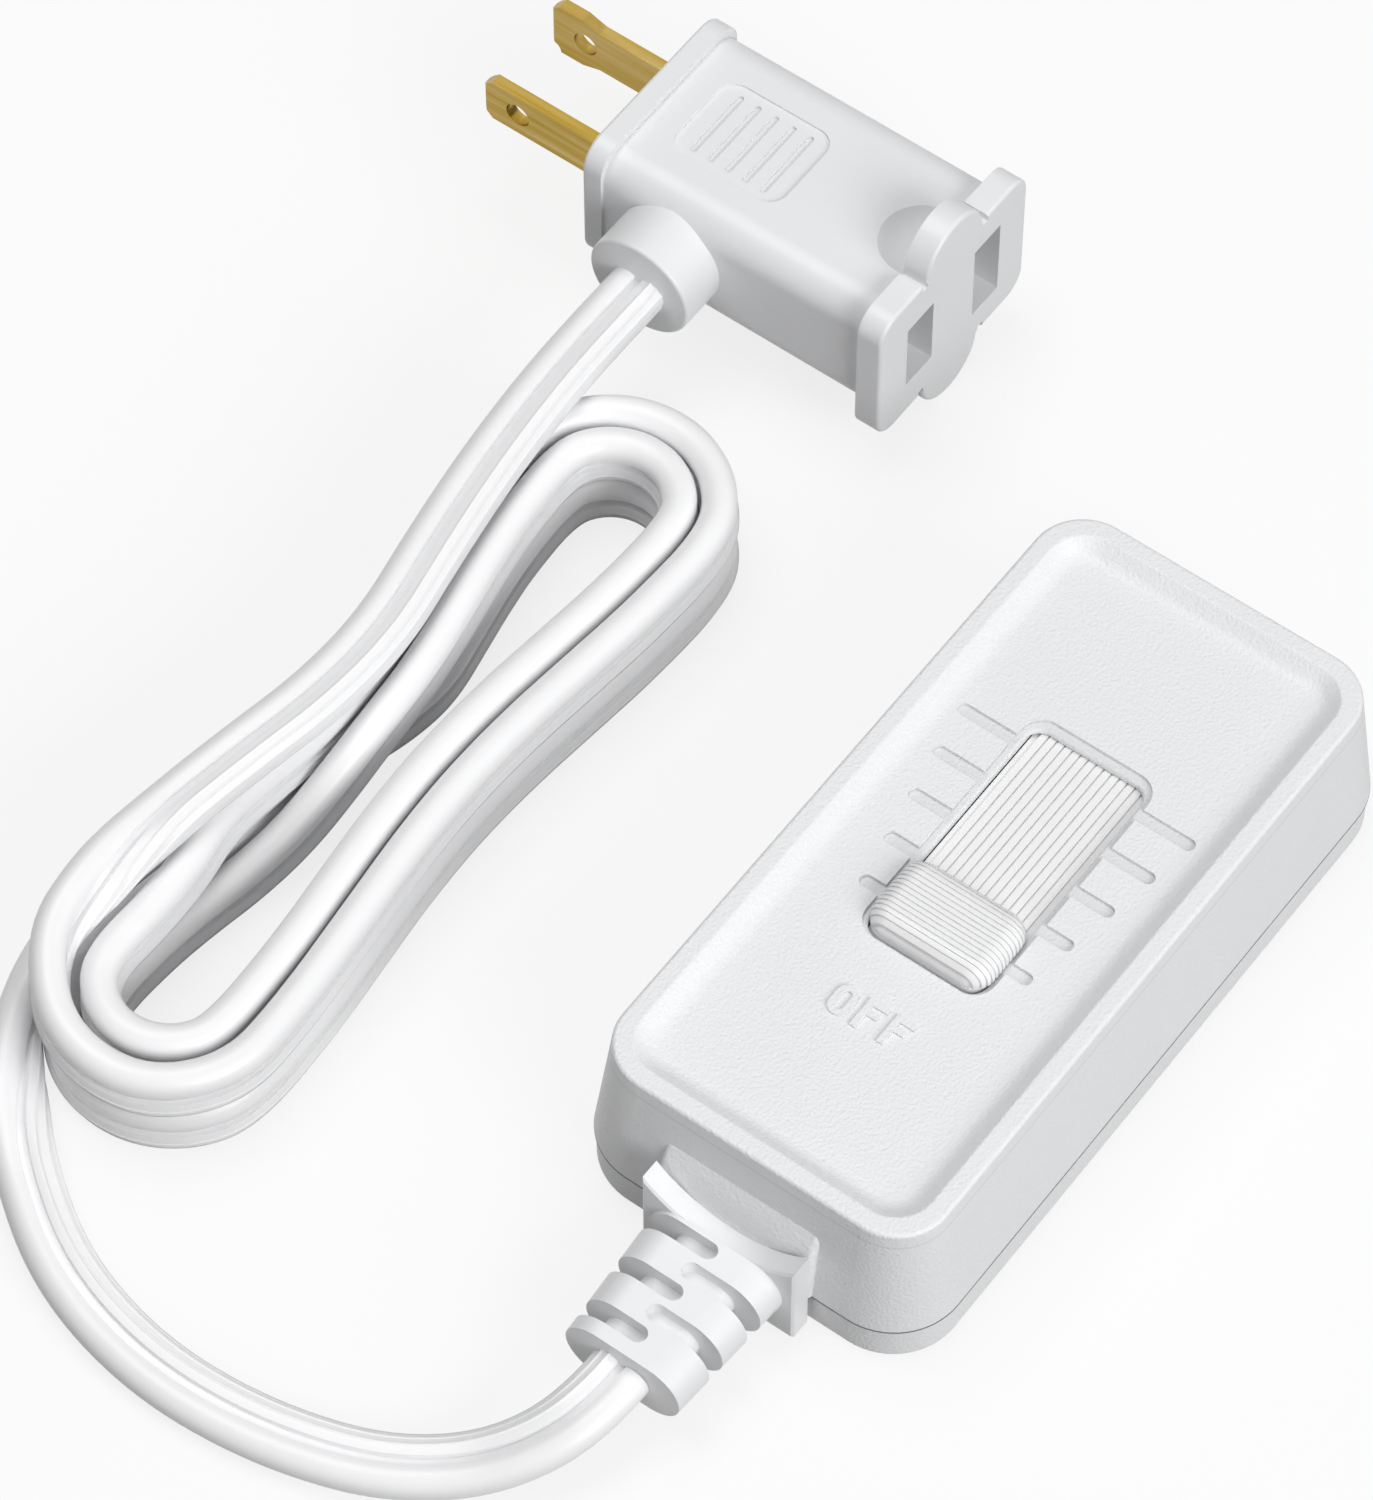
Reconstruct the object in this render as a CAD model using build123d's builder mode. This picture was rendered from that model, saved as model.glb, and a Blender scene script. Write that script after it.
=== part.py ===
from build123d import *
import math
import os

os.makedirs("parts", exist_ok=True)

# A plug-in slide dimmer: a flat control box with a thumb slider on its face,
# a flat two-core cord laid in a hank of loops that stand on edge,
# and a through plug with an outlet at one end and two blades at the other.
# +X runs along the box away from its cord and +Z is up. The origin is at the
# centre of the box's underside. Millimetres.

# Fits
overrun = 2.0
slide_clearance = 0.2
seat_clearance = 0.05
shell_clearance = 0.15
contact_clearance = 0.3

# Control box
case_length = 90.4
case_width = 44.7
case_height = 21.7
case_corner = 8.2
case_wall = 1.8
parting_height = 5.3
top_inset = 2.0
rim_round = 0.5
rim_width = 2.1
dish_depth = 1.5
dish_slope = 1.9
dish_round = 2.2
lower_shell_inset = 0.25
foot_round = 0.8
lip_height = 1.4
lip_thickness = 0.9

# Slider window, tick marks and lettering on the face
window_start_gap = 31.9
window_end_gap = 26.9
window_width = 14.7
window_corner = 1.9
margin_depth = 0.45
margin_side = 0.8
margin_end = 1.1
margin_start = 0.5
window_edge_round = 0.3
tick_count = 5
tick_start_gap = 4.8
tick_end_gap = 3.2
tick_width = 1.6
tick_reach = 10.9
tick_growth = 1.06
letter_height = 3.9
letter_width = 2.5
letter_stroke = 0.7
letter_pitch = 3.4
letter_raise = 0.3
letter_gap = 8.6
letter_arm_share = 0.8
letter_arm_height_share = 0.08

# Slider
knob_length = 10.0
knob_width = 15.2
knob_raise = 2.3
knob_round = 2.1
knob_corner = 2.6
knob_rib_count = 16
knob_groove_width = 0.22
knob_groove_depth = 0.22
pin_radius = 1.0
pin_spacing = 6.0
pin_depth = 2.6
shield_cover = 1.1
shield_thickness = 1.0
shield_overlap = 1.5
shield_rib_count = 13
shield_rib_pitch = 1.0
shield_rib_width = 0.76
shield_rib_raise = 0.22
carriage_length = 8.0
carriage_width = 6.8
carriage_thickness = 4.4
nose_width = 3.0
nose_thickness = 1.6
wiper_width = 4.4
wiper_thickness = 0.5
wiper_foot_length = 5.0

# Case screws, their bosses below the face and their columns on the floor
case_screw_end_gap = 7.0
case_screw_side_gap = 7.35
case_screw_radius = 1.1
case_head_radius = 2.2
case_head_height = 1.4
case_head_depth = 0.6
case_screw_length = 12.0
boss_radius = 2.6
column_radius = 3.4
column_gap = 0.3

# Circuit board and what it carries
board_end_gap = 12.2
board_side_gap = 3.85
board_thickness = 1.6
board_corner = 2.0
board_height = 4.6
post_end_inset = 3.5
post_y = 13.0
post_radius = 2.2
board_screw_radius = 0.9
board_head_radius = 1.9
board_head_height = 1.2
board_screw_length = 4.0
track_end_room = 8.4
track_width = 9.0
track_head_gap = 0.68
track_wall = 1.2
resistive_thickness = 0.4
resistive_width = 3.6
switch_length = 5.0
switch_width = 6.0
switch_drop = 0.6
switch_gap = 1.0
leaf_switch_thickness = 0.4
leaf_switch_width = 4.0
leaf_switch_spacing = 2.2
leaf_switch_head_gap = 1.88
sink_end_inset = 5.5
sink_width = 10.6
sink_thickness = 1.5
sink_start_y = -9.0
sink_end_y = 10.5
sink_head_room = 3.6
triac_length = 9.0
triac_height = 4.4
triac_start_y = -8.0
triac_tab_length = 6.0
triac_tab_thickness = 1.3
triac_lead_width = 0.9
triac_lead_pitch = 2.54
triac_lead_reach = 2.5
triac_lead_height = 2.6
choke_end_inset = 11.6
choke_y = -8.9
choke_flange_radius = 5.6
choke_post_radius = 2.2
choke_head_room = 2.6
choke_flange = 1.3
winding_radius = 5.0
film_end_inset = 12.3
film_y = 9.0
film_length = 12.5
film_width = 6.0
film_head_room = 1.8
film_round = 0.8
timing_gap = 4.6
timing_y = 12.5
timing_length = 7.2
timing_width = 3.2
timing_height = 6.8
resistor_count = 2
resistor_pitch = 3.4
resistor_y = 13.5
resistor_radius = 1.25
resistor_length = 6.6
diac_x = 6.0
diac_y = -13.5
diac_radius = 0.95
diac_length = 4.2
pin_wire_radius = 0.3
pin_wire_reach = 1.3
axial_lift = 0.5
terminal_inset = 2.0
terminal_radius = 0.9
terminal_height = 3.6
terminal_spread = 6.4
conductor_radius = 1.2
conductor_spacing = 2.8
conductor_bend = 2.4

# Strain relief at the box, and the hood of the case above it
plate_width = 19.3
plate_height = 13.1
plate_thickness = 2.6
plate_base = 1.2
plate_dip = 3.9
plate_edge = 0.25
sleeve_length = 16.3
sleeve_root_width = 16.5
sleeve_end_width = 14.4
sleeve_height = 7.9
sleeve_axis_height = 7.6
groove_count = 5
groove_pitch = 3.0
groove_width = 2.1
groove_start = 1.5
groove_past_axis = 1.0
core_width = 9.4
core_height = 4.2
neck_width = 14.6
neck_height = 7.4
anchor_thickness = 2.4
anchor_margin = 1.3
hood_width = 19.4
hood_reach = 0.6
hood_bulge = 8.2
hood_corner = 0.7

# Flat cord
cord_thickness = 3.8
cord_width = 6.6
lead_diameter = 4.8

# Hank of the cord: four loops in two layers, drawn in at the waist
hank_left_x = -57.2
hank_right_x = 19.0
hank_mid_y = 64.2
hank_turn_radius = 12.05
hank_column_pitch = 4.38
hank_layer_pitch = 7.05
hank_top_draw = 4.9
hank_bottom_draw = 2.9
hank_lift = 0.1
top_stations = 12
bottom_stations = 6
slide_in_share = (0.65, 0.86)
first_step_share = (0.46, 0.67)
climb_share = (0.25, 0.53)
last_step_share = (0.09, 0.30)

# Plug
plug_x = 61.0
plug_face_y = 48.1
face_width = 27.8
face_height = 20.2
face_thickness = 3.2
face_corner = 3.0
lobe_width = 10.5
lobe_height = 30.0
notch_size = 0.9
plug_length = 41.6
back_width = 25.6
back_height = 19.0
back_thickness = 2.6
back_corner = 3.4
plug_body_width = 24.8
plug_body_height = 17.0
plug_body_corner = 3.8
plug_edge_round = 0.45
pocket_radius = 5.0
pocket_depth = 2.2
pocket_setback = 1.2
pad_length = 15.0
pad_width = 12.0
pad_corner = 2.4
pad_depth = 0.3
pad_groove_count = 5
pad_groove_pitch = 2.4
pad_groove_width = 0.9
pad_groove_depth = 0.35
pad_y = 75.7
collar_radius = 6.7
collar_length = 6.1
collar_y = 77.7
collar_round = 0.4
slot_spacing = 12.7
slot_width = 4.9
line_slot_height = 9.9
neutral_slot_height = 11.4
slot_depth = 5.6
inner_slot_width = 2.3
inner_slot_height = 8.2
cavity_width = 19.4
cavity_height = 12.0
cavity_setback = 7.0
cavity_back = 5.0
blade_thickness = 1.5
blade_width = 6.35
blade_tip_width = 7.94
blade_length = 18.2
blade_hole_radius = 1.6
blade_hole_setback = 4.8
blade_chamfer = 1.2
blade_edge = 0.35
blade_flare_length = 6.8
blade_flare_run = 2.4
blade_notch_radius = 1.3
line_tail = 11.6
leaf_thickness = 0.5
leaf_gap = 1.3
leaf_height = 7.4
leaf_length = 15.0

# Levels and places that follow from the sizes above
case_end_x = case_length / 2
case_screw_x = case_end_x - case_screw_end_gap
case_screw_y = case_width / 2 - case_screw_side_gap
window_start_x = -case_end_x + window_start_gap
window_length = case_length - window_start_gap - window_end_gap
tick_start_x = window_start_x + tick_start_gap
tick_pitch = (window_length - tick_start_gap - tick_end_gap) / (tick_count - 1)
letter_x = window_start_x - letter_gap
dish_floor = case_height - dish_depth
ceiling = dish_floor - case_wall
channel_top = dish_floor - shield_cover
rib_top = channel_top - slide_clearance
shield_top = rib_top - shield_rib_raise
shield_bottom = shield_top - shield_thickness
carriage_bottom = shield_bottom - carriage_thickness
margin_floor = dish_floor - margin_depth
margin_half_width = window_width / 2 + margin_side
window_end_x = window_start_x + window_length
window_mid_x = window_start_x + window_length / 2
knob_mid_x = window_start_x + slide_clearance + knob_length / 2
knob_base = margin_floor + slide_clearance
knob_top = dish_floor + knob_raise
slide_travel = window_length - knob_length - 2 * slide_clearance
shield_start_x = window_start_x - shield_overlap - slide_travel
shield_end_x = window_end_x + shield_overlap
shield_mid_x = (shield_start_x + shield_end_x) / 2
shield_length = shield_end_x - shield_start_x
shield_width = window_width - 2 * slide_clearance
board_top = board_height + board_thickness
board_length = case_length - 2 * board_end_gap
board_width = case_width - 2 * board_side_gap
board_end_x = board_length / 2
post_x = board_end_x - post_end_inset
track_length = slide_travel + 2 * track_end_room
track_height = carriage_bottom - board_top - track_head_gap
switch_height = track_height - switch_drop
leaf_switch_rise = shield_bottom - leaf_switch_head_gap - board_top - switch_height
sink_x = board_end_x - sink_end_inset
sink_fin_height = ceiling - sink_head_room - board_top
choke_x = -board_end_x + choke_end_inset
choke_height = ceiling - choke_head_room - board_top
film_x = -board_end_x + film_end_inset
film_height = ceiling - film_head_room - board_top
timing_x = sink_x - sink_width / 2 - timing_gap - timing_length / 2
resistor_x = (film_x + film_length / 2 + timing_x - timing_length / 2) / 2
terminal_x = -board_end_x + terminal_inset
track_mid_x = knob_mid_x + slide_travel / 2
track_floor = board_top + track_wall
switch_x = track_mid_x - track_length / 2 - switch_gap - switch_length / 2
leaf_near_x = switch_x + leaf_switch_spacing / 2
hood_front_x = -case_end_x - hood_reach
plate_front_x = hood_front_x - plate_thickness
sleeve_end_x = plate_front_x - sleeve_length
plate_top = plate_base + plate_height
wall_slope = top_inset / (case_height - parting_height)
anchor_top = sleeve_axis_height + neck_height / 2 + anchor_margin
anchor_face_x = -case_end_x + case_wall + wall_slope * (anchor_top - parting_height) + shell_clearance
anchor_end_x = anchor_face_x + anchor_thickness
conductor_ys = (-conductor_spacing / 2, conductor_spacing / 2)
plug_z = lobe_height / 2
plug_back_y = plug_face_y + plug_length
body_start_y = plug_face_y + face_thickness
body_end_y = plug_back_y - back_thickness
cavity_start_y = plug_face_y + cavity_setback
cavity_end_y = plug_back_y - cavity_back
line_x = plug_x - slot_spacing / 2
neutral_x = plug_x + slot_spacing / 2
collar_front_x = plug_x - plug_body_width / 2 - collar_length
leaf_start_y = cavity_start_y + contact_clearance
leaf_end_y = leaf_start_y + leaf_length
blade_tip_y = plug_back_y + blade_length


def save(part, name):
    """Label the piece and write its file."""
    part.label = name
    export_step(part, f"parts/{name}.step")


def draft(slope):
    """The taper angle of a wall that leans by slope."""
    return math.degrees(math.atan(slope))


def mirrored_pairs(x, y):
    """The four places at plus and minus x and y."""
    return [(i * x, j * y) for i in (-1, 1) for j in (-1, 1)]


# Top cover: outer form and dished face
screw_places = mirrored_pairs(case_screw_x, case_screw_y)
dish_inset = top_inset + rim_width

# Hood: the bulge of the end wall over the strain relief
hood_depth = 2 * case_wall
hood_start = plate_top - plate_dip
hood_top = hood_start + math.sqrt(hood_bulge**2 - (hood_bulge - hood_depth) ** 2)

with BuildPart() as hood:
    with BuildSketch(Plane.XZ):
        with BuildLine():
            front = Line((hood_front_x, parting_height), (hood_front_x, hood_start))
            crown = TangentArc(front @ 1, (hood_front_x + hood_depth, hood_top), tangent=front % 1)
            Polyline(crown @ 1, (hood_front_x + hood_depth, parting_height), front @ 0)
        make_face()
    extrude(amount=hood_width / 2, both=True)
    fillet(hood.edges().filter_by(GeomType.CIRCLE), hood_corner)

with BuildPart() as top_cover:
    with BuildSketch(Plane.XY.offset(parting_height)):
        RectangleRounded(case_length, case_width, case_corner)
    extrude(amount=case_height - parting_height, taper=draft(wall_slope))
    with BuildSketch(Plane.XY.offset(case_height)):
        RectangleRounded(
            case_length - 2 * dish_inset,
            case_width - 2 * dish_inset,
            case_corner - dish_inset + rim_round,
        )
    extrude(amount=-dish_depth, taper=draft(dish_slope / dish_depth), mode=Mode.SUBTRACT)
    dish_faces = top_cover.faces().filter_by(GeomType.PLANE).filter_by(Axis.Z)
    fillet(dish_faces.sort_by(Axis.Z)[-2].edges(), dish_round)
    rim_faces = top_cover.faces().filter_by(GeomType.PLANE).filter_by(Axis.Z)
    fillet(rim_faces.sort_by(Axis.Z)[-1].edges(), rim_round)

    # The hood joins it as a shallow bulge of the end wall
    add(hood.part)

    # Hollow inside
    with BuildSketch(Plane.XY.offset(parting_height)):
        RectangleRounded(
            case_length - 2 * case_wall, case_width - 2 * case_wall, case_corner - case_wall
        )
    extrude(amount=ceiling - parting_height, taper=draft(wall_slope), mode=Mode.SUBTRACT)
    with BuildSketch(Plane.XY.offset(ceiling)):
        with Locations((shield_mid_x + slide_travel / 2, 0)):
            Rectangle(
                shield_length + slide_travel + 2 * slide_clearance,
                shield_width + 2 * slide_clearance,
            )
    extrude(amount=channel_top - ceiling, mode=Mode.SUBTRACT)

    # Bosses for the case screws
    with BuildSketch(Plane.XY.offset(parting_height + column_gap)):
        with Locations(*screw_places):
            Circle(boss_radius)
    extrude(amount=ceiling - parting_height - column_gap)
    with BuildSketch(Plane.XY.offset(parting_height)):
        with Locations(*screw_places):
            Circle(case_screw_radius + seat_clearance)
    extrude(amount=case_screw_length, mode=Mode.SUBTRACT)

    # Passage of the strain relief's neck
    with BuildSketch(Plane.YZ.offset(hood_front_x - overrun)):
        with Locations((0, sleeve_axis_height)):
            SlotOverall(neck_width + 2 * seat_clearance, neck_height + 2 * seat_clearance)
    extrude(amount=anchor_end_x - hood_front_x + overrun, mode=Mode.SUBTRACT)

    # Shallow margin round the window, and the window itself
    with BuildSketch(Plane.XY.offset(margin_floor)):
        with Locations((window_mid_x + (margin_end - margin_start) / 2, 0)):
            RectangleRounded(
                window_length + margin_end + margin_start,
                2 * margin_half_width,
                window_corner + margin_side,
            )
    extrude(amount=margin_depth, mode=Mode.SUBTRACT)
    with BuildSketch(Plane.XY.offset(ceiling - overrun)):
        with Locations((window_mid_x, 0)):
            RectangleRounded(window_length, window_width, window_corner)
    extrude(amount=overrun + dish_depth + case_wall, mode=Mode.SUBTRACT)
    margin_face = top_cover.faces().filter_by(Axis.Z).sort_by_distance(
        (window_mid_x, margin_half_width - margin_side / 2, margin_floor)
    )[0]
    fillet(margin_face.inner_wires()[0].edges(), window_edge_round)

    # Tick marks, longer towards the bright end, level with the margin
    with BuildSketch(Plane.XY.offset(margin_floor)):
        for i in range(tick_count):
            reach = tick_reach + i * tick_growth
            start = margin_half_width - tick_width
            for side in (-1, 1):
                with Locations((tick_start_x + i * tick_pitch, side * (start + reach) / 2)):
                    SlotOverall(reach - start, tick_width, rotation=90)
    extrude(amount=margin_depth, mode=Mode.SUBTRACT)

    # The word OFF, read from the side, raised on the face
    letters = Plane(origin=(letter_x, 0, dish_floor), x_dir=(0, -1, 0), z_dir=(0, 0, 1))
    with BuildSketch(letters):
        with Locations((-letter_pitch, 0)):
            SlotOverall(letter_height, letter_width, rotation=90)
            SlotOverall(
                letter_height - 2 * letter_stroke,
                letter_width - 2 * letter_stroke,
                rotation=90,
                mode=Mode.SUBTRACT,
            )
        for x in (0, letter_pitch):
            with Locations((x - (letter_width - letter_stroke) / 2, 0)):
                Rectangle(letter_stroke, letter_height)
            with Locations((x, (letter_height - letter_stroke) / 2)):
                Rectangle(letter_width, letter_stroke)
            arm = letter_width * letter_arm_share
            with Locations((x - (letter_width - arm) / 2, letter_height * letter_arm_height_share)):
                Rectangle(arm, letter_stroke)
    extrude(amount=letter_raise)
save(top_cover.part, "top_cover")

# Bottom cover: floor, wall, locating lip, screw columns and board posts
lip_inset = case_wall + shell_clearance + wall_slope * lip_height
cavity_inset = lip_inset + lip_thickness

with BuildPart() as bottom_cover:
    with BuildSketch(Plane.XY):
        RectangleRounded(
            case_length - 2 * lower_shell_inset,
            case_width - 2 * lower_shell_inset,
            case_corner - lower_shell_inset,
        )
    extrude(amount=parting_height)
    fillet(bottom_cover.faces().sort_by(Axis.Z)[0].edges(), foot_round)
    with BuildSketch(Plane.XY.offset(parting_height)):
        RectangleRounded(
            case_length - 2 * lip_inset, case_width - 2 * lip_inset, case_corner - lip_inset
        )
    extrude(amount=lip_height)
    with BuildSketch(Plane.XY.offset(case_wall)):
        RectangleRounded(
            case_length - 2 * cavity_inset,
            case_width - 2 * cavity_inset,
            case_corner - cavity_inset,
        )
    extrude(amount=parting_height + lip_height - case_wall, mode=Mode.SUBTRACT)
    with BuildSketch(Plane.XY):
        with Locations(*screw_places):
            Circle(column_radius)
    extrude(amount=parting_height)
    with BuildSketch(Plane.XY.offset(parting_height)):
        with Locations(*screw_places):
            Circle(boss_radius + column_gap)
    extrude(amount=lip_height, mode=Mode.SUBTRACT)
    with BuildSketch(Plane.XY):
        with Locations(*mirrored_pairs(post_x, post_y)):
            Circle(post_radius)
    extrude(amount=board_height)
    head_room = case_head_depth + case_head_height
    with Locations(Plane.XY.rotated((180, 0, 0))):
        with Locations(*screw_places):
            CounterBoreHole(
                radius=case_screw_radius + seat_clearance,
                counter_bore_radius=case_head_radius + shell_clearance,
                counter_bore_depth=head_room,
                depth=parting_height,
            )
    with BuildSketch(Plane.XY.offset(board_height)):
        with Locations(*mirrored_pairs(post_x, post_y)):
            Circle(board_screw_radius + seat_clearance)
    extrude(amount=board_thickness - board_screw_length, mode=Mode.SUBTRACT)
    with BuildSketch(Plane.YZ.offset(hood_front_x - overrun)):
        with Locations((0, sleeve_axis_height)):
            SlotOverall(neck_width + 2 * seat_clearance, neck_height + 2 * seat_clearance)
        with Locations((0, sleeve_axis_height + neck_height / 2)):
            Rectangle(neck_width + 2 * seat_clearance, neck_height)
    extrude(amount=anchor_end_x - hood_front_x + overrun, mode=Mode.SUBTRACT)
    with BuildSketch(Plane.YZ.offset(anchor_face_x - shell_clearance)):
        with Locations((0, sleeve_axis_height)):
            Rectangle(
                neck_width + 2 * anchor_margin + 2 * shell_clearance,
                neck_height + 2 * anchor_margin + 2 * shell_clearance,
            )
    extrude(amount=anchor_thickness, mode=Mode.SUBTRACT)
save(bottom_cover.part, "bottom_cover")


def screw(places, head_base, head_radius, head_height, radius, length, upward):
    """Screws at the places: a head from head_base, and a shank that points up or down."""
    with BuildPart() as screws:
        with BuildSketch(Plane.XY.offset(head_base)):
            with Locations(*places):
                Circle(head_radius)
        extrude(amount=head_height)
        shank_base = head_base + head_height if upward else head_base
        with BuildSketch(Plane.XY.offset(shank_base)):
            with Locations(*places):
                Circle(radius)
        extrude(amount=length if upward else -length)
        slot_base = head_base if upward else head_base + head_height
        with BuildSketch(Plane.XY.offset(slot_base)):
            with Locations(*places):
                Rectangle(head_radius, head_height / 2)
                Rectangle(head_height / 2, head_radius)
        extrude(amount=(1 if upward else -1) * head_height / 2, mode=Mode.SUBTRACT)
    return screws.part


save(
    screw(
        screw_places,
        case_head_depth,
        case_head_radius,
        case_head_height,
        case_screw_radius,
        case_screw_length - case_head_height,
        True,
    ),
    "case_screws",
)
save(
    screw(
        mirrored_pairs(post_x, post_y),
        board_top,
        board_head_radius,
        board_head_height,
        board_screw_radius,
        board_screw_length - shell_clearance,
        False,
    ),
    "board_screws",
)


# Dust shield: a thin strip with lengthwise ribs that fills the window and slides with the knob
pin_places = [(knob_mid_x, -pin_spacing / 2), (knob_mid_x, pin_spacing / 2)]

with BuildPart() as dust_shield:
    with BuildSketch(Plane.XY.offset(shield_bottom)):
        with Locations((shield_mid_x, 0)):
            Rectangle(shield_length, shield_width)
    extrude(amount=shield_thickness)
    with BuildSketch(Plane.XY.offset(shield_top)):
        with Locations((shield_mid_x, 0)):
            with GridLocations(0, shield_rib_pitch, 1, shield_rib_count):
                Rectangle(shield_length, shield_rib_width)
    extrude(amount=shield_rib_raise)
    with BuildSketch(Plane.XY.offset(shield_bottom)):
        with Locations(*pin_places):
            Circle(pin_radius + seat_clearance)
    extrude(amount=shield_thickness + shield_rib_raise, mode=Mode.SUBTRACT)
save(dust_shield.part, "dust_shield")


def knob_form(inset):
    """The rounded body of the knob, smaller by an even inset."""
    with BuildPart() as form:
        with BuildSketch(Plane.XY.offset(knob_base)):
            with Locations((knob_mid_x, 0)):
                RectangleRounded(
                    knob_length - 2 * inset, knob_width - 2 * inset, knob_corner - inset
                )
        extrude(amount=knob_top - knob_base - inset)
        fillet(form.faces().sort_by(Axis.Z)[-1].edges(), knob_round - inset)
    return form.part


# Slider knob: rounded, with cross grooves of even depth, a foot and two pins
knob_grooves = [
    Pos(knob_mid_x + knob_length * ((i + 0.5) / knob_rib_count - 0.5), 0, (knob_base + knob_top) / 2)
    * Box(knob_groove_width, knob_width + overrun, knob_top - knob_base + overrun)
    for i in range(knob_rib_count)
]

with BuildPart() as slider_knob:
    add(knob_form(0))
    add(Compound(knob_grooves) - knob_form(knob_groove_depth), mode=Mode.SUBTRACT)
    with BuildSketch(Plane.XY.offset(rib_top)):
        with Locations((knob_mid_x, 0)):
            RectangleRounded(knob_length, shield_width, window_corner)
    extrude(amount=knob_base - rib_top)
    with BuildSketch(Plane.XY.offset(rib_top)):
        with Locations(*pin_places):
            Circle(pin_radius)
    extrude(amount=shield_bottom - rib_top - pin_depth)
save(slider_knob.part, "slider_knob")

# Carriage below the shield, with the nose that works the off switch
carriage_start_x = knob_mid_x - carriage_length / 2
nose_end_x = leaf_near_x + leaf_switch_thickness / 2 + contact_clearance

with BuildPart() as slider_carriage:
    with BuildSketch(Plane.XY.offset(shield_bottom)):
        with Locations((knob_mid_x, 0)):
            Rectangle(carriage_length, carriage_width)
    extrude(amount=-carriage_thickness)
    fillet(slider_carriage.edges().filter_by(Axis.Z), pin_radius)
    with BuildSketch(Plane.XY.offset(carriage_bottom)):
        with Locations(((nose_end_x + knob_mid_x) / 2, 0)):
            Rectangle(knob_mid_x - nose_end_x, nose_width)
    extrude(amount=nose_thickness)
    with BuildSketch(Plane.XY.offset(shield_bottom)):
        with Locations(*pin_places):
            Circle(pin_radius + seat_clearance)
    extrude(amount=-pin_depth - seat_clearance, mode=Mode.SUBTRACT)
save(slider_carriage.part, "slider_carriage")

# Wiper: a bent strip from the carriage down to the track
wiper_foot_base = track_floor + resistive_thickness + contact_clearance

with BuildPart() as wiper_spring:
    with BuildSketch(Plane.XZ):
        with BuildLine():
            FilletPolyline(
                (knob_mid_x, carriage_bottom),
                (knob_mid_x, wiper_foot_base + wiper_thickness / 2),
                (knob_mid_x + wiper_foot_length, wiper_foot_base + wiper_thickness / 2),
                radius=wiper_thickness,
            )
        trace(line_width=wiper_thickness)
    extrude(amount=wiper_width / 2, both=True)
    with BuildSketch(Plane.XY.offset(carriage_bottom)):
        Rectangle(2 * case_length, case_width)
    extrude(amount=overrun, mode=Mode.SUBTRACT)
save(wiper_spring.part, "wiper_spring")

# Slide track: an open channel with its resistive strip on the floor
with BuildPart() as track_housing:
    with BuildSketch(Plane.XY.offset(board_top)):
        with Locations((track_mid_x, 0)):
            Rectangle(track_length, track_width)
    extrude(amount=track_height)
    with BuildSketch(Plane.XY.offset(track_floor)):
        with Locations((track_mid_x, 0)):
            Rectangle(track_length - 2 * track_wall, track_width - 2 * track_wall)
    extrude(amount=track_height, mode=Mode.SUBTRACT)
save(track_housing.part, "track_housing")

with BuildPart() as resistive_strip:
    with BuildSketch(Plane.XY.offset(track_floor)):
        with Locations((track_mid_x, 0)):
            Rectangle(track_length - 4 * track_wall, resistive_width)
    extrude(amount=resistive_thickness)
save(resistive_strip.part, "resistive_strip")

# Off switch: a block on the board and two spring leaves that stand on it
with BuildPart() as switch_block:
    with BuildSketch(Plane.XY.offset(board_top)):
        with Locations((switch_x, 0)):
            Rectangle(switch_length, switch_width)
    extrude(amount=switch_height)
save(switch_block.part, "switch_block")

with BuildPart() as switch_leaves:
    with BuildSketch(Plane.XY.offset(board_top + switch_height)):
        with Locations((switch_x, 0)):
            with GridLocations(leaf_switch_spacing, 0, 2, 1):
                Rectangle(leaf_switch_thickness, leaf_switch_width)
    extrude(amount=leaf_switch_rise)
save(switch_leaves.part, "switch_leaves")

# Circuit board
with BuildPart() as circuit_board:
    with BuildSketch(Plane.XY.offset(board_height)):
        RectangleRounded(board_length, board_width, board_corner)
        with Locations(*mirrored_pairs(post_x, post_y)):
            Circle(board_screw_radius + seat_clearance, mode=Mode.SUBTRACT)
    extrude(amount=board_thickness)
save(circuit_board.part, "circuit_board")

# Heat sink: a bent plate on the board with a fin along its outer edge
with BuildPart() as heat_sink:
    with BuildSketch(Plane.XY.offset(board_top)):
        with Locations((sink_x, (sink_start_y + sink_end_y) / 2)):
            Rectangle(sink_width, sink_end_y - sink_start_y)
    extrude(amount=sink_thickness)
    with BuildSketch(Plane.XY.offset(board_top)):
        with Locations((sink_x + (sink_width - sink_thickness) / 2, (sink_start_y + sink_end_y) / 2)):
            Rectangle(sink_thickness, sink_end_y - sink_start_y)
    extrude(amount=sink_fin_height)
save(heat_sink.part, "heat_sink")

# Triac: moulded body, and the metal tab and leads that come out of it
triac_base = board_top + sink_thickness
triac_width_fit = sink_width - sink_thickness - seat_clearance
triac_mid_x = sink_x - sink_width / 2 + triac_width_fit / 2
triac_end_y = triac_start_y + triac_length

with BuildPart() as triac_body:
    with BuildSketch(Plane.XY.offset(triac_base)):
        with Locations((triac_mid_x, (triac_start_y + triac_end_y) / 2)):
            Rectangle(triac_width_fit, triac_length)
    extrude(amount=triac_height)
save(triac_body.part, "triac_body")

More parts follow.
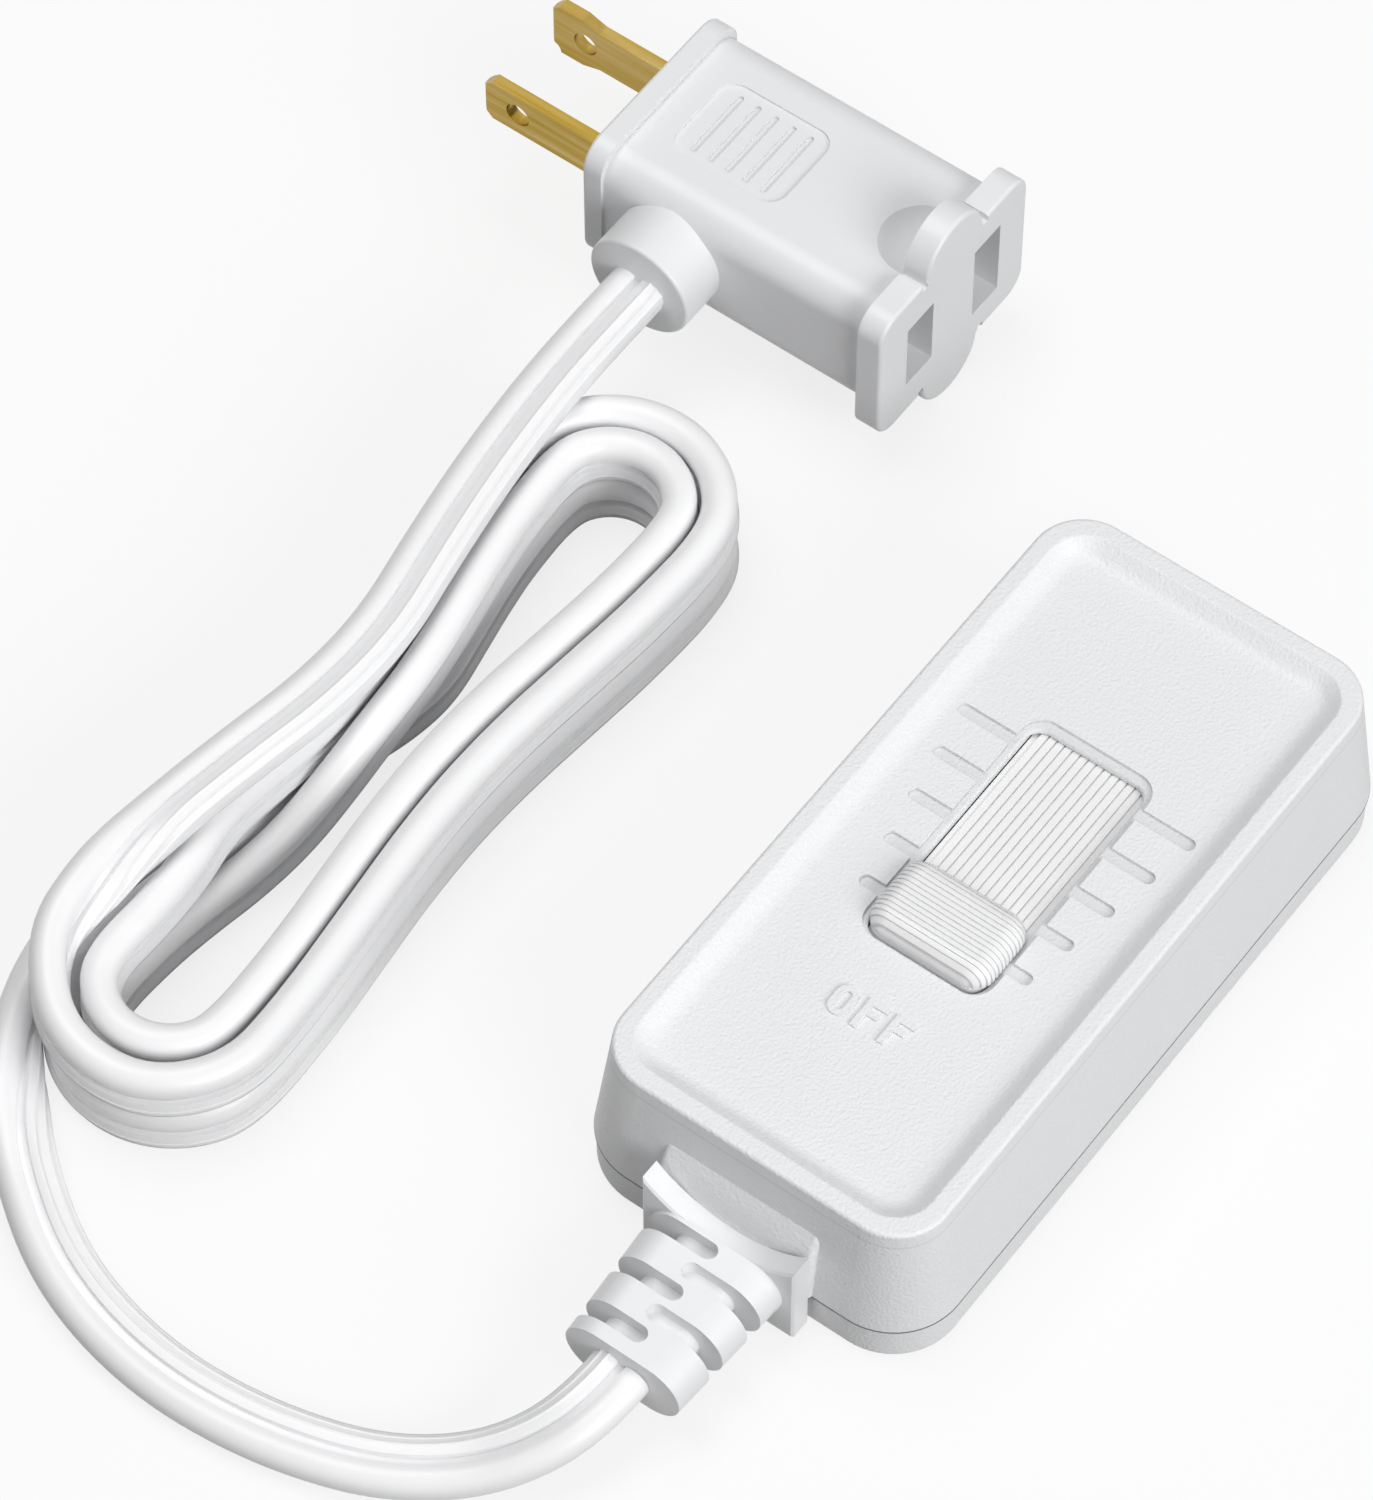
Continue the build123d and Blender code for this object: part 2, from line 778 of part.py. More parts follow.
with BuildPart() as triac_leadframe:
    with BuildSketch(Plane.XY.offset(triac_base)):
        with Locations((triac_mid_x, triac_end_y + triac_tab_length / 2)):
            Rectangle(triac_width_fit, triac_tab_length)
            Circle(triac_tab_length / 4, mode=Mode.SUBTRACT)
    extrude(amount=triac_tab_thickness)
    lead_x = [triac_mid_x + i * triac_lead_pitch for i in (-1, 0, 1)]
    lead_mid_height = triac_base + triac_lead_height
    with BuildSketch(Plane.XZ.offset(-triac_start_y)):
        with Locations(*[(x, lead_mid_height) for x in lead_x]):
            Rectangle(triac_lead_width, triac_lead_width)
    extrude(amount=triac_lead_reach)
    with BuildSketch(Plane.XY.offset(board_top)):
        with Locations(
            *[(x, triac_start_y - triac_lead_reach + triac_lead_width / 2) for x in lead_x]
        ):
            Rectangle(triac_lead_width, triac_lead_width)
    extrude(amount=lead_mid_height - board_top)
save(triac_leadframe.part, "triac_leadframe")

# Choke: a bobbin with its winding
with BuildPart() as choke_core:
    with BuildSketch(Plane.XY.offset(board_top)):
        with Locations((choke_x, choke_y)):
            Circle(choke_flange_radius)
    extrude(amount=choke_height)
    with BuildSketch(Plane.XY.offset(board_top + choke_flange)):
        with Locations((choke_x, choke_y)):
            Circle(choke_flange_radius)
            Circle(choke_post_radius, mode=Mode.SUBTRACT)
    extrude(amount=choke_height - 2 * choke_flange, mode=Mode.SUBTRACT)
save(choke_core.part, "choke_core")

with BuildPart() as choke_winding:
    with BuildSketch(Plane.XY.offset(board_top + choke_flange)):
        with Locations((choke_x, choke_y)):
            Circle(winding_radius)
            Circle(choke_post_radius, mode=Mode.SUBTRACT)
    extrude(amount=choke_height - 2 * choke_flange)
save(choke_winding.part, "choke_winding")


def block_capacitor(x, y, length, width, height):
    """A boxed capacitor that stands on the board."""
    with BuildPart() as block:
        with BuildSketch(Plane.XY.offset(board_top)):
            with Locations((x, y)):
                Rectangle(length, width)
        extrude(amount=height)
        fillet(block.edges().filter_by(Axis.Z) + block.faces().sort_by(Axis.Z)[-1].edges(), film_round)
    return block.part


def axial_parts(places, radius, length):
    """Small parts lying along X, each with a lead bent down to the board at both ends."""
    axis_height = board_top + axial_lift + radius
    reach = length / 2 + pin_wire_reach
    with BuildPart() as parts:
        for x, y in places:
            with BuildSketch(Plane.YZ.offset(x - length / 2)):
                with Locations((y, axis_height)):
                    Circle(radius)
            extrude(amount=length)
            with BuildSketch(Plane.YZ.offset(x - reach)):
                with Locations((y, axis_height)):
                    Circle(pin_wire_radius)
            extrude(amount=2 * reach)
            with BuildSketch(Plane.XY.offset(board_top)):
                with Locations((x - reach, y), (x + reach, y)):
                    Circle(pin_wire_radius)
            extrude(amount=axis_height - board_top)
    return parts.part


save(block_capacitor(film_x, film_y, film_length, film_width, film_height), "film_capacitor")
save(block_capacitor(timing_x, timing_y, timing_length, timing_width, timing_height), "timing_capacitor")
resistor_places = [(resistor_x, resistor_y - i * resistor_pitch) for i in range(resistor_count)]
save(axial_parts(resistor_places, resistor_radius, resistor_length), "resistors")
save(axial_parts([(diac_x, diac_y)], diac_radius, diac_length), "diac")

# Line terminals and the two conductors that reach them through the strain relief
terminal_ys = (-terminal_spread / 2, terminal_spread / 2)

with BuildPart() as line_terminals:
    with BuildSketch(Plane.XY.offset(board_top)):
        with Locations(*[(terminal_x, y) for y in terminal_ys]):
            Circle(terminal_radius)
    extrude(amount=terminal_height)
save(line_terminals.part, "line_terminals")


def conductor(points, radii):
    """A round conductor along straight runs joined by tangent arcs."""
    with BuildPart() as wire:
        with BuildLine() as route:
            FilletPolyline(*points, radius=radii)
        with BuildSketch(Plane(origin=route.line @ 0, z_dir=route.line % 0)):
            Circle(conductor_radius)
        sweep()
    return wire.part


terminal_face_x = terminal_x - terminal_radius
inner_wires = Compound(
    [
        conductor(
            [
                (sleeve_end_x, y, sleeve_axis_height),
                (anchor_end_x + conductor_bend, y, sleeve_axis_height),
                (terminal_face_x - conductor_bend, end_y, sleeve_axis_height),
                (terminal_face_x, end_y, sleeve_axis_height),
            ],
            [conductor_bend, conductor_bend],
        )
        for y, end_y in zip(conductor_ys, terminal_ys)
    ]
)
save(inner_wires, "inner_wires")

# Strain relief: end plate, neck and anchor in the wall, and a flat sleeve cut by
# grooves that reach past its axis from alternate sides
dip_radius = (plate_width**2 / 4 + plate_dip**2) / (2 * plate_dip)
sleeve_plane = Plane.YZ.offset(plate_front_x)

with BuildPart() as strain_relief:
    with BuildSketch(Plane.YZ.offset(plate_front_x)):
        with Locations((0, plate_base + plate_height / 2)):
            Rectangle(plate_width, plate_height)
        with Locations((0, plate_top - plate_dip + dip_radius)):
            Circle(dip_radius, mode=Mode.SUBTRACT)
    extrude(amount=plate_thickness)
    chamfer(strain_relief.faces().sort_by(Axis.X)[0].edges(), plate_edge)
    with BuildSketch(Plane.YZ.offset(plate_front_x + plate_thickness)):
        with Locations((0, sleeve_axis_height)):
            SlotOverall(neck_width, neck_height)
    extrude(amount=anchor_end_x - plate_front_x - plate_thickness)
    with BuildSketch(Plane.YZ.offset(anchor_face_x)):
        with Locations((0, sleeve_axis_height)):
            RectangleRounded(
                neck_width + 2 * anchor_margin, neck_height + 2 * anchor_margin, anchor_margin
            )
    extrude(amount=anchor_thickness)
    with BuildSketch(sleeve_plane):
        with Locations((0, sleeve_axis_height)):
            SlotOverall(sleeve_root_width, sleeve_height)
    with BuildSketch(sleeve_plane.offset(-sleeve_length)):
        with Locations((0, sleeve_axis_height)):
            SlotOverall(sleeve_end_width, sleeve_height)
    loft()
    with BuildSketch(Plane.XY):
        for i in range(groove_count):
            side = 1 if i % 2 == 0 else -1
            groove_length = sleeve_root_width / 2 + groove_past_axis + groove_width
            groove_mid_y = side * (groove_length / 2 - groove_past_axis)
            with Locations((plate_front_x - groove_start - i * groove_pitch, groove_mid_y)):
                SlotOverall(groove_length, groove_width, rotation=90)
    extrude(amount=case_height, mode=Mode.SUBTRACT)
    with BuildSketch(sleeve_plane):
        with Locations((0, sleeve_axis_height)):
            SlotOverall(core_width, core_height)
    extrude(amount=-sleeve_length)
    with BuildSketch(Plane.YZ.offset(sleeve_end_x)):
        with Locations(*[(y, sleeve_axis_height) for y in conductor_ys]):
            Circle(conductor_radius + seat_clearance)
    extrude(amount=anchor_end_x - sleeve_end_x, mode=Mode.SUBTRACT)
save(strain_relief.part, "strain_relief")


def biarc_joint(start, start_way, end, end_way):
    """The point where two arcs that leave and reach the given ways meet."""
    chord = end - start
    ways = start_way + end_way
    turned = 2 * (1 - start_way.dot(end_way))
    along = chord.dot(ways)
    reach = (math.sqrt(along * along + turned * chord.dot(chord)) - along) / turned
    return (start + end + (start_way - end_way) * reach) * 0.5


# Hank: where the cord's centre line runs
run_length = hank_right_x - hank_left_x
first_layer = cord_width / 2 + hank_lift
second_layer = first_layer + hank_layer_pitch


def ease(share, start, end):
    """A smooth rise from 0 to 1 between two shares of the run."""
    t = min(max((share - start) / (end - start), 0), 1)
    return t * t * (3 - 2 * t)


def top_run(loop, share):
    """The centre of a loop's top run at a share of its length."""
    layer = first_layer if loop < 2 else second_layer
    column = 1
    if loop == 0:
        column = ease(share, *slide_in_share) - 1
    elif loop == 1:
        column = ease(share, *first_step_share)
    elif loop == 2:
        layer = first_layer + hank_layer_pitch * ease(share, *climb_share)
    else:
        column = 1 - ease(share, *last_step_share)
    draw = hank_top_draw * math.sin(math.pi * share) ** 2
    y = hank_mid_y + hank_turn_radius - draw - column * hank_column_pitch
    return Vector(hank_left_x + share * run_length, y, layer)


def bottom_run(column, layer, share):
    """The centre of a bottom run at a share of its length."""
    draw = hank_bottom_draw * math.sin(math.pi * share) ** 2
    y = hank_mid_y - hank_turn_radius + draw + column * hank_column_pitch
    return Vector(hank_left_x + share * run_length, y, layer)


def way(curve, share, step=1e-4):
    """The unit direction of a curve at a share, by small differences."""
    return (curve(share + step) - curve(share - step)).normalized()


top_shares = [(i + 1) / top_stations for i in range(top_stations - 1)]
bottom_shares = [1 - (i + 1) / bottom_stations for i in range(bottom_stations - 1)]
loop_columns = (0, 1, 1, 0)
loop_layers = (first_layer, first_layer, second_layer, second_layer)
hank_end = Vector(hank_left_x + cord_width / 2, hank_mid_y - hank_turn_radius, second_layer)
leftward = Vector(-1, 0, 0)


def turn_stations(x, side, radius, layer):
    """The start, middle and end of a half turn at the right (1) or the left (-1)."""
    return [
        (Vector(x, hank_mid_y + side * radius, layer), Vector(side, 0, 0)),
        (Vector(x + side * radius, hank_mid_y, layer), Vector(0, -side, 0)),
        (Vector(x, hank_mid_y - side * radius, layer), Vector(-side, 0, 0)),
    ]


def loop_stations(loop):
    """Places and directions of the centre line round one loop."""
    column, layer = loop_columns[loop], loop_layers[loop]
    radius = hank_turn_radius - column * hank_column_pitch
    places = []
    for share in top_shares[1:] if loop == 0 else top_shares:
        places.append((top_run(loop, share), way(lambda s: top_run(loop, s), share)))
    places += turn_stations(hank_right_x, 1, radius, layer)
    for share in bottom_shares:
        direction = way(lambda s: bottom_run(column, layer, s), share) * -1
        places.append((bottom_run(column, layer, share), direction))
    if loop < 3:
        places += turn_stations(hank_left_x, -1, radius, layer)
    return places


stations = [place for loop in range(4) for place in loop_stations(loop)]
stations.append((hank_end - leftward * cord_width, leftward))
hank_start_way = stations[0][1]
hank_start = stations[0][0] - hank_start_way * cord_width

with BuildPart() as cord_hank:
    with BuildLine() as hank_path:
        Line(hank_start, stations[0][0])
        for (start, start_way), (end, end_way) in zip(stations, stations[1:]):
            middle = biarc_joint(start, start_way, end, end_way)
            first = TangentArc(start, middle, tangent=start_way)
            TangentArc(middle, end, tangent=first % 1)
        Line(stations[-1][0], hank_end)
    with BuildSketch(Plane(origin=hank_start, x_dir=(0, 0, 1), z_dir=hank_start_way)):
        SlotOverall(cord_width, cord_thickness)
    sweep(path=hank_path.wires()[0])
save(cord_hank.part, "cord_hank")


def least_gap(wire, pitch, reach):
    """The least gap between passes of the flat cord, measured on points of its centre line."""
    count = int(wire.length / pitch)
    points = [wire @ (i / count) for i in range(count + 1)]
    straight = cord_width / 2 - cord_thickness / 2
    gap = cord_width
    for i, a in enumerate(points):
        for b in points[i + int(reach / pitch):]:
            rise = max(abs(a.Z - b.Z) - 2 * straight, 0)
            gap = min(gap, math.sqrt((a.X - b.X) ** 2 + (a.Y - b.Y) ** 2 + rise**2) - cord_thickness)
    return gap


slot_area = cord_thickness * (cord_width - cord_thickness) + math.pi * cord_thickness**2 / 4
hank_wire = hank_path.wires()[0]
print(f"hank: length {hank_wire.length:.1f}, volume {cord_hank.part.volume:.1f}")
print(f"hank: section times length {slot_area * hank_wire.length:.1f}")
print(f"hank: least gap to itself {least_gap(hank_wire, cord_thickness / 4, 4 * cord_width):.2f}")


def lead(points, name):
    """A plain tube along a free stretch: straight runs joined by tangent arcs."""
    points = [Vector(*p) for p in points]
    radii = []
    for before, here, after in zip(points, points[1:], points[2:]):
        turn = math.radians((here - before).get_angle(after - here))
        shorter = min((here - before).length, (after - here).length)
        radii.append(0.45 * shorter / math.tan(turn / 2))
    with BuildPart() as tube:
        with BuildLine() as route:
            FilletPolyline(*points, radius=radii)
        path = route.wires()[0]
        with BuildSketch(Plane(origin=path @ 0, z_dir=path % 0)):
            Circle(lead_diameter / 2)
        sweep(path=path)
    expected = path.length * math.pi * lead_diameter**2 / 4
    print(f"{name}: length {path.length:.1f}, radii " + ", ".join(f"{r:.1f}" for r in radii))
    print(f"{name}: volume {tube.part.volume:.1f}, section times length {expected:.1f}")
    save(tube.part, name)


# Free cord from the sleeve, down to the ground and round to the hank
floor_height = lead_diameter / 2 + hank_lift
lead(
    [
        (sleeve_end_x, 0, sleeve_axis_height),
        (-69.5, 0, sleeve_axis_height),
        (-75.6, 2.6, 5.2),
        (-80.9, 7.6, 3.1),
        (-85.7, 14.5, floor_height),
        (-88.7, 22.6, floor_height),
        (-90.4, 31.4, floor_height),
        (-90.7, 40.4, floor_height),
        (-89.2, 49.3, floor_height),
        (-86.2, 57.2, floor_height),
        (-81.4, 64.5, floor_height),
        (-76.0, 70.9, floor_height),
        (-69.8, 76.6, floor_height),
        (-63.2, 81.2, 2.8),
        hank_start - hank_start_way * cord_width * 0.9,
        hank_start,
    ],
    "cord_lead_dimmer",
)

# Free cord from the hank: a last half turn that rises, then over the top to the plug
lead(
    [
        hank_end,
        (-62.4, hank_end.Y, second_layer),
        (-70.0, 59.0, 11.0),
        (-70.0, 69.4, 12.2),
        (-62.6, 77.0, 13.7),
        (-53.2, 77.4, 15.4),
        (-43.6, 76.3, 16.6),
        (-33.0, 74.4, 16.9),
        (-22.0, 72.3, 16.8),
        (-11.0, 71.9, 16.9),
        (0.5, 74.1, 16.8),
        (12.0, 75.9, 16.9),
        (23.0, 77.0, 16.6),
        (33.2, collar_y, plug_z),
        (collar_front_x, collar_y, plug_z),
    ],
    "cord_lead_plug",
)


def across_plug(y):
    """A plane across the plug at y: its own x is -X and its own y is +Z."""
    return Plane(origin=(plug_x, y, plug_z), x_dir=(-1, 0, 0), z_dir=(0, 1, 0))


def finger_hollow(side):
    """The round hollow for a fingertip, behind the lobe above (1) or below (-1)."""
    radius = (pocket_radius**2 + pocket_depth**2) / (2 * pocket_depth)
    height = plug_z + side * (plug_body_height / 2 - pocket_depth + radius)
    with BuildPart() as hollow:
        with Locations((plug_x, body_start_y + pocket_setback, height)):
            Sphere(radius, rotation=(0, 90, 0))
        split(bisect_by=Plane(origin=(plug_x, body_start_y, height), z_dir=(0, 1, 0)))
    return hollow.part


# Plug body: outlet face with its lobe, grip, blade flange and the collar for the cord
blade_shift = slot_spacing / 2

with BuildPart() as plug_body:
    with BuildSketch(across_plug(plug_face_y)):
        RectangleRounded(face_width, face_height, face_corner)
        SlotOverall(lobe_height, lobe_width, rotation=90)
    extrude(amount=face_thickness)
    fillet(plug_body.faces().sort_by(Axis.Y)[0].edges(), plug_edge_round)
    with BuildSketch(across_plug(plug_face_y)):
        with Locations(*mirrored_pairs((lobe_width + notch_size) / 2, face_height / 2)):
            Rectangle(notch_size, 2 * notch_size)
    extrude(amount=face_thickness, mode=Mode.SUBTRACT)
    with BuildSketch(across_plug(body_start_y)):
        RectangleRounded(plug_body_width, plug_body_height, plug_body_corner)
    extrude(amount=body_end_y - body_start_y)
    with BuildSketch(across_plug(body_end_y)):
        RectangleRounded(back_width, back_height, back_corner)
    extrude(amount=back_thickness)
    fillet(plug_body.faces().sort_by(Axis.Y)[-1].edges(), plug_edge_round)
    with BuildSketch(Plane.YZ.offset(collar_front_x)):
        with Locations((collar_y, plug_z)):
            Circle(collar_radius)
    extrude(amount=collar_length + plug_body_corner)
    fillet(plug_body.faces().sort_by(Axis.X)[0].edges(), collar_round)

    for side in (-1, 1):
        add(finger_hollow(side), mode=Mode.SUBTRACT)

    # Thumb pad with cross grooves
    pad_level = plug_z + plug_body_height / 2 - pad_depth
    with BuildSketch(Plane.XY.offset(pad_level)):
        with Locations((plug_x, pad_y)):
            RectangleRounded(pad_width, pad_length, pad_corner)
    extrude(amount=pad_depth, mode=Mode.SUBTRACT)
    with BuildSketch(Plane.XY.offset(pad_level - pad_groove_depth)):
        with Locations((plug_x, pad_y)):
            with GridLocations(0, pad_groove_pitch, 1, pad_groove_count):
                SlotOverall(pad_width - pad_corner, pad_groove_width)
    extrude(amount=pad_groove_depth, mode=Mode.SUBTRACT)

    # Cavity, stepped slots, blade passages and conductor bores
    with BuildSketch(across_plug(cavity_start_y)):
        Rectangle(cavity_width, cavity_height)
    extrude(amount=cavity_end_y - cavity_start_y, mode=Mode.SUBTRACT)
    for shift, height in ((blade_shift, line_slot_height), (-blade_shift, neutral_slot_height)):
        with BuildSketch(across_plug(plug_face_y)):
            with Locations((shift, 0)):
                Rectangle(slot_width, height)
        extrude(amount=slot_depth, mode=Mode.SUBTRACT)
    with BuildSketch(across_plug(plug_face_y)):
        with GridLocations(slot_spacing, 0, 2, 1):
            Rectangle(inner_slot_width, inner_slot_height)
    extrude(amount=cavity_setback, mode=Mode.SUBTRACT)
    with BuildSketch(across_plug(cavity_end_y)):
        with GridLocations(slot_spacing, 0, 2, 1):
            Rectangle(blade_thickness + 2 * seat_clearance, blade_width + 2 * seat_clearance)
    extrude(amount=cavity_back, mode=Mode.SUBTRACT)
    with BuildSketch(Plane.YZ.offset(collar_front_x)):
        with Locations(*[(collar_y + y, plug_z) for y in conductor_ys]):
            Circle(conductor_radius + seat_clearance)
    extrude(amount=collar_length + (plug_body_width - cavity_width) / 2, mode=Mode.SUBTRACT)
save(plug_body.part, "plug_body")


def blade(x, tail_y, tip_width):
    """A flat blade across x, from its tail in the body to its tip."""
    flare = (tip_width - blade_width) / 2
    neck_y = blade_tip_y - blade_flare_length
    with BuildPart() as form:
        with BuildSketch(Plane.YZ.offset(x)):
            with Locations(((tail_y + blade_tip_y) / 2, plug_z)):
                Rectangle(blade_tip_y - tail_y, blade_width)
            if flare > 0:
                with BuildLine():
                    Polyline(
                        (neck_y, plug_z - blade_width / 2),
                        (neck_y + blade_flare_run, plug_z - tip_width / 2),
                        (blade_tip_y, plug_z - tip_width / 2),
                        (blade_tip_y, plug_z + tip_width / 2),
                        (neck_y + blade_flare_run, plug_z + tip_width / 2),
                        (neck_y, plug_z + blade_width / 2),
                        close=True,
                    )
                make_face()
            with Locations((blade_tip_y - blade_hole_setback, plug_z)):
                Circle(blade_hole_radius, mode=Mode.SUBTRACT)
        extrude(amount=blade_thickness / 2, both=True)
        chamfer(form.faces().sort_by(Axis.Y)[-1].edges().filter_by(Axis.X), blade_chamfer)
        chamfer(form.faces().sort_by(Axis.Y)[-1].edges().filter_by(Axis.Z), blade_edge)
        if flare > 0:
            with BuildSketch(Plane.YZ.offset(x - blade_thickness)):
                with Locations((blade_tip_y, plug_z - tip_width / 2)):
                    Circle(blade_notch_radius)
            extrude(amount=2 * blade_thickness, mode=Mode.SUBTRACT)
    return form.part


def contact(x):
    """A spring clip in the outlet: two leaves joined at the back, open to the face."""
    with BuildPart() as clip:
        with BuildSketch(Plane.XY.offset(plug_z - leaf_height / 2)):
            with Locations((x, (leaf_start_y + leaf_end_y) / 2)):
                Rectangle(leaf_gap + 2 * leaf_thickness, leaf_length)
            with Locations((x, (leaf_start_y + leaf_end_y - leaf_thickness) / 2)):
                Rectangle(leaf_gap, leaf_length - leaf_thickness, mode=Mode.SUBTRACT)
        extrude(amount=leaf_height)
    return clip.part


save(blade(line_x, plug_back_y - line_tail, blade_width), "line_blade")
save(blade(neutral_x, leaf_end_y, blade_tip_width), "neutral_blade")
save(contact(line_x), "line_contact")
save(contact(neutral_x), "neutral_contact")

# Conductors in the plug: one to the line blade, one to the line contact
near_y, far_y = [collar_y + y for y in conductor_ys]

with BuildPart() as line_conductor:
    with BuildSketch(Plane.YZ.offset(collar_front_x)):
        with Locations((far_y, plug_z)):
            Circle(conductor_radius)
    extrude(amount=line_x - blade_thickness / 2 - collar_front_x)

plug_wires = Compound(
    [
        line_conductor.part,
        conductor(
            [
                (collar_front_x, near_y, plug_z),
                (line_x, near_y, plug_z),
                (line_x, leaf_end_y, plug_z),
            ],
            [conductor_bend],
        ),
    ]
)
save(plug_wires, "plug_wires")
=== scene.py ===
# %% [markdown]
# A plug-in slide dimmer in white plastic: a flat box with a thumb slider, a flat
# cord wound in a hank, and a plug with an outlet in its face. The rigid pieces
# could be modelled again here, but the measured model already has their true
# shapes and sizes. So that model is loaded first, as a fixed frame, and this
# lesson adds the cord, the finishes, the camera and the light.

import math

import bmesh
import bpy
from mathutils import Matrix, Vector


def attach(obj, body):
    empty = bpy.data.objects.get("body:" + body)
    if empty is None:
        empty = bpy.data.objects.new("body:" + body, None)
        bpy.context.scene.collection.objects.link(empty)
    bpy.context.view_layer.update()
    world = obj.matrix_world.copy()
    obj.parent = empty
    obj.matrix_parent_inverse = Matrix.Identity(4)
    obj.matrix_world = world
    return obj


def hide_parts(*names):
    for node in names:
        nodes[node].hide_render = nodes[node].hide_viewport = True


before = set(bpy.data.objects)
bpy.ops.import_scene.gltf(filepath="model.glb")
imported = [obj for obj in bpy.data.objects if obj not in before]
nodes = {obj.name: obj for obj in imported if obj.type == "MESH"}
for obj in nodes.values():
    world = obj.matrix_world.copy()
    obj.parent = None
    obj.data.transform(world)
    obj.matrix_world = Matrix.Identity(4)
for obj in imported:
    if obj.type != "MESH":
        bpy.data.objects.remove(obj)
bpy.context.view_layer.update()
MM = 0.001

# %% [markdown]
# The camera stands where the picture was taken from, well away, with a long lens
# that keeps the edges of the box almost parallel. It could be aimed by eye, or with
# a Track To constraint. But its place and the way it faces were measured from
# straight edges of the box and the blades, whose real sizes are known, so a matrix
# states them as they are. One direction is measured, the one that points out of the
# camera's back. The other two follow from it, because the picture was taken level.

# %% Camera
SENSOR_HEIGHT, LENS, FAR_LIMIT = 36.0, 177.8, 10.0
CAMERA_PLACE = (-353.2, -221.27, 670.44)
CAMERA_BACK = (-0.4444, -0.3283, 0.8335)

camera_data = bpy.data.cameras.new("camera")
camera_data.sensor_fit = "VERTICAL"
camera_data.sensor_height = SENSOR_HEIGHT
camera_data.lens = LENS
camera_data.clip_end = FAR_LIMIT
camera = bpy.data.objects.new("camera", camera_data)
camera_back = Vector(CAMERA_BACK).normalized()
camera_right = Vector((0, 0, 1)).cross(camera_back).normalized()
camera_up = camera_back.cross(camera_right)
turn = Matrix((camera_right, camera_up, camera_back)).transposed()
camera.matrix_world = Matrix.Translation(Vector(CAMERA_PLACE) * MM) @ turn.to_4x4()
bpy.context.scene.collection.objects.link(camera)
bpy.context.scene.camera = camera
print("camera at", CAMERA_PLACE, "mm, lens", LENS, "mm")

# %% [markdown]
# The cord is a flat pair of conductors in soft white plastic. It leaves the box
# lying flat, turns on edge in the hank, where the loops stand side by side in two
# layers, and lies flat again on the way to the plug. It could be put together from
# straight and round pieces, but a real cord has no such joints, so one smooth curve
# carries it from end to end. The curve's control points are in millimetres. The free
# stretches at both ends follow no rule, so their points are listed one by one.

# %% Cord route: the free stretches
CORD_WIDTH = 6.9
SLEEVE_END = (-64.7, 0.0, 7.6)
COLLAR_FACE = (42.5, 77.7, 15.0)
FLOOR_HEIGHT = 2.25

route_from_box = [
    SLEEVE_END,
    (-69.5, 0.0, 7.6),
    (-75.6, 2.6, 5.2),
    (-80.9, 7.6, 2.8),
    (-85.7, 14.5, FLOOR_HEIGHT),
    (-88.7, 22.6, FLOOR_HEIGHT),
    (-90.4, 31.4, FLOOR_HEIGHT),
    (-90.7, 40.4, FLOOR_HEIGHT),
    (-89.2, 49.3, FLOOR_HEIGHT),
    (-86.2, 57.2, FLOOR_HEIGHT),
    (-81.4, 64.5, FLOOR_HEIGHT),
    (-76.0, 70.9, 2.8),
    (-70.4, 75.6, 3.5),
    (-64.2, 79.4, 3.5),
    (-57.0, 80.9, 3.46),
    (-51.0, 80.6, 3.46),
]
route_to_plug = [
    (-62.4, 52.1, 10.5),
    (-70.0, 59.0, 11.0),
    (-70.0, 69.4, 12.2),
    (-62.6, 77.0, 13.7),
    (-53.2, 77.2, 15.2),
    (-43.6, 76.0, 15.95),
    (-33.0, 74.3, 16.05),
    (-22.0, 72.2, 16.0),
    (-11.0, 71.9, 16.0),
    (0.5, 74.1, 16.0),
    (12.0, 75.9, 16.0),
    (23.0, 77.0, 15.95),
    (33.2, 77.7, 15.2),
    COLLAR_FACE,
]
print("points by hand:", len(route_from_box) + len(route_to_plug))

# %% [markdown]
# The hank is four loops. Each one runs along the top, turns at the right, runs back
# along the bottom and turns at the left, and its long runs are drawn in at the waist.
# These points could be placed by hand as well, but wound cord repeats itself, so a
# formula says it in fewer words. Loops stand beside each other in columns, and on
# each other in layers. A loop moves to its next column or layer somewhere along the
# top, where a smooth step from 0 to 1 carries the cord across.

# %% Cord route: the long runs of the hank
LEFT_X, RIGHT_X, MID_Y = -57.2, 19.0, 64.2
TURN_RADIUS = 12.05
COLUMN_PITCH, LAYER_PITCH = 4.38, 7.05
FIRST_LAYER = 3.46
TOP_DRAW, BOTTOM_DRAW = 4.9, 2.9
# Where each loop crosses over, as shares of its top run: start and end.
CROSSINGS = ((0.65, 0.86), (0.46, 0.67), (0.25, 0.53), (0.09, 0.30))


def ease(share, start, end):
    """A smooth step: 0 before the start, 1 after the end."""
    t = min(max((share - start) / (end - start), 0), 1)
    return t * t * (3 - 2 * t)


def top_run(loop, share):
    """The point of a loop's top run at a share of its length. Each loop crosses in its own way."""
    moved = ease(share, *CROSSINGS[loop])
    column = (moved - 1, moved, 1, 1 - moved)[loop]
    risen = moved if loop == 2 else loop > 2
    draw = TOP_DRAW * math.sin(math.pi * share) ** 2
    y = MID_Y + TURN_RADIUS - draw - column * COLUMN_PITCH
    return (LEFT_X + share * (RIGHT_X - LEFT_X), y, FIRST_LAYER + LAYER_PITCH * risen)


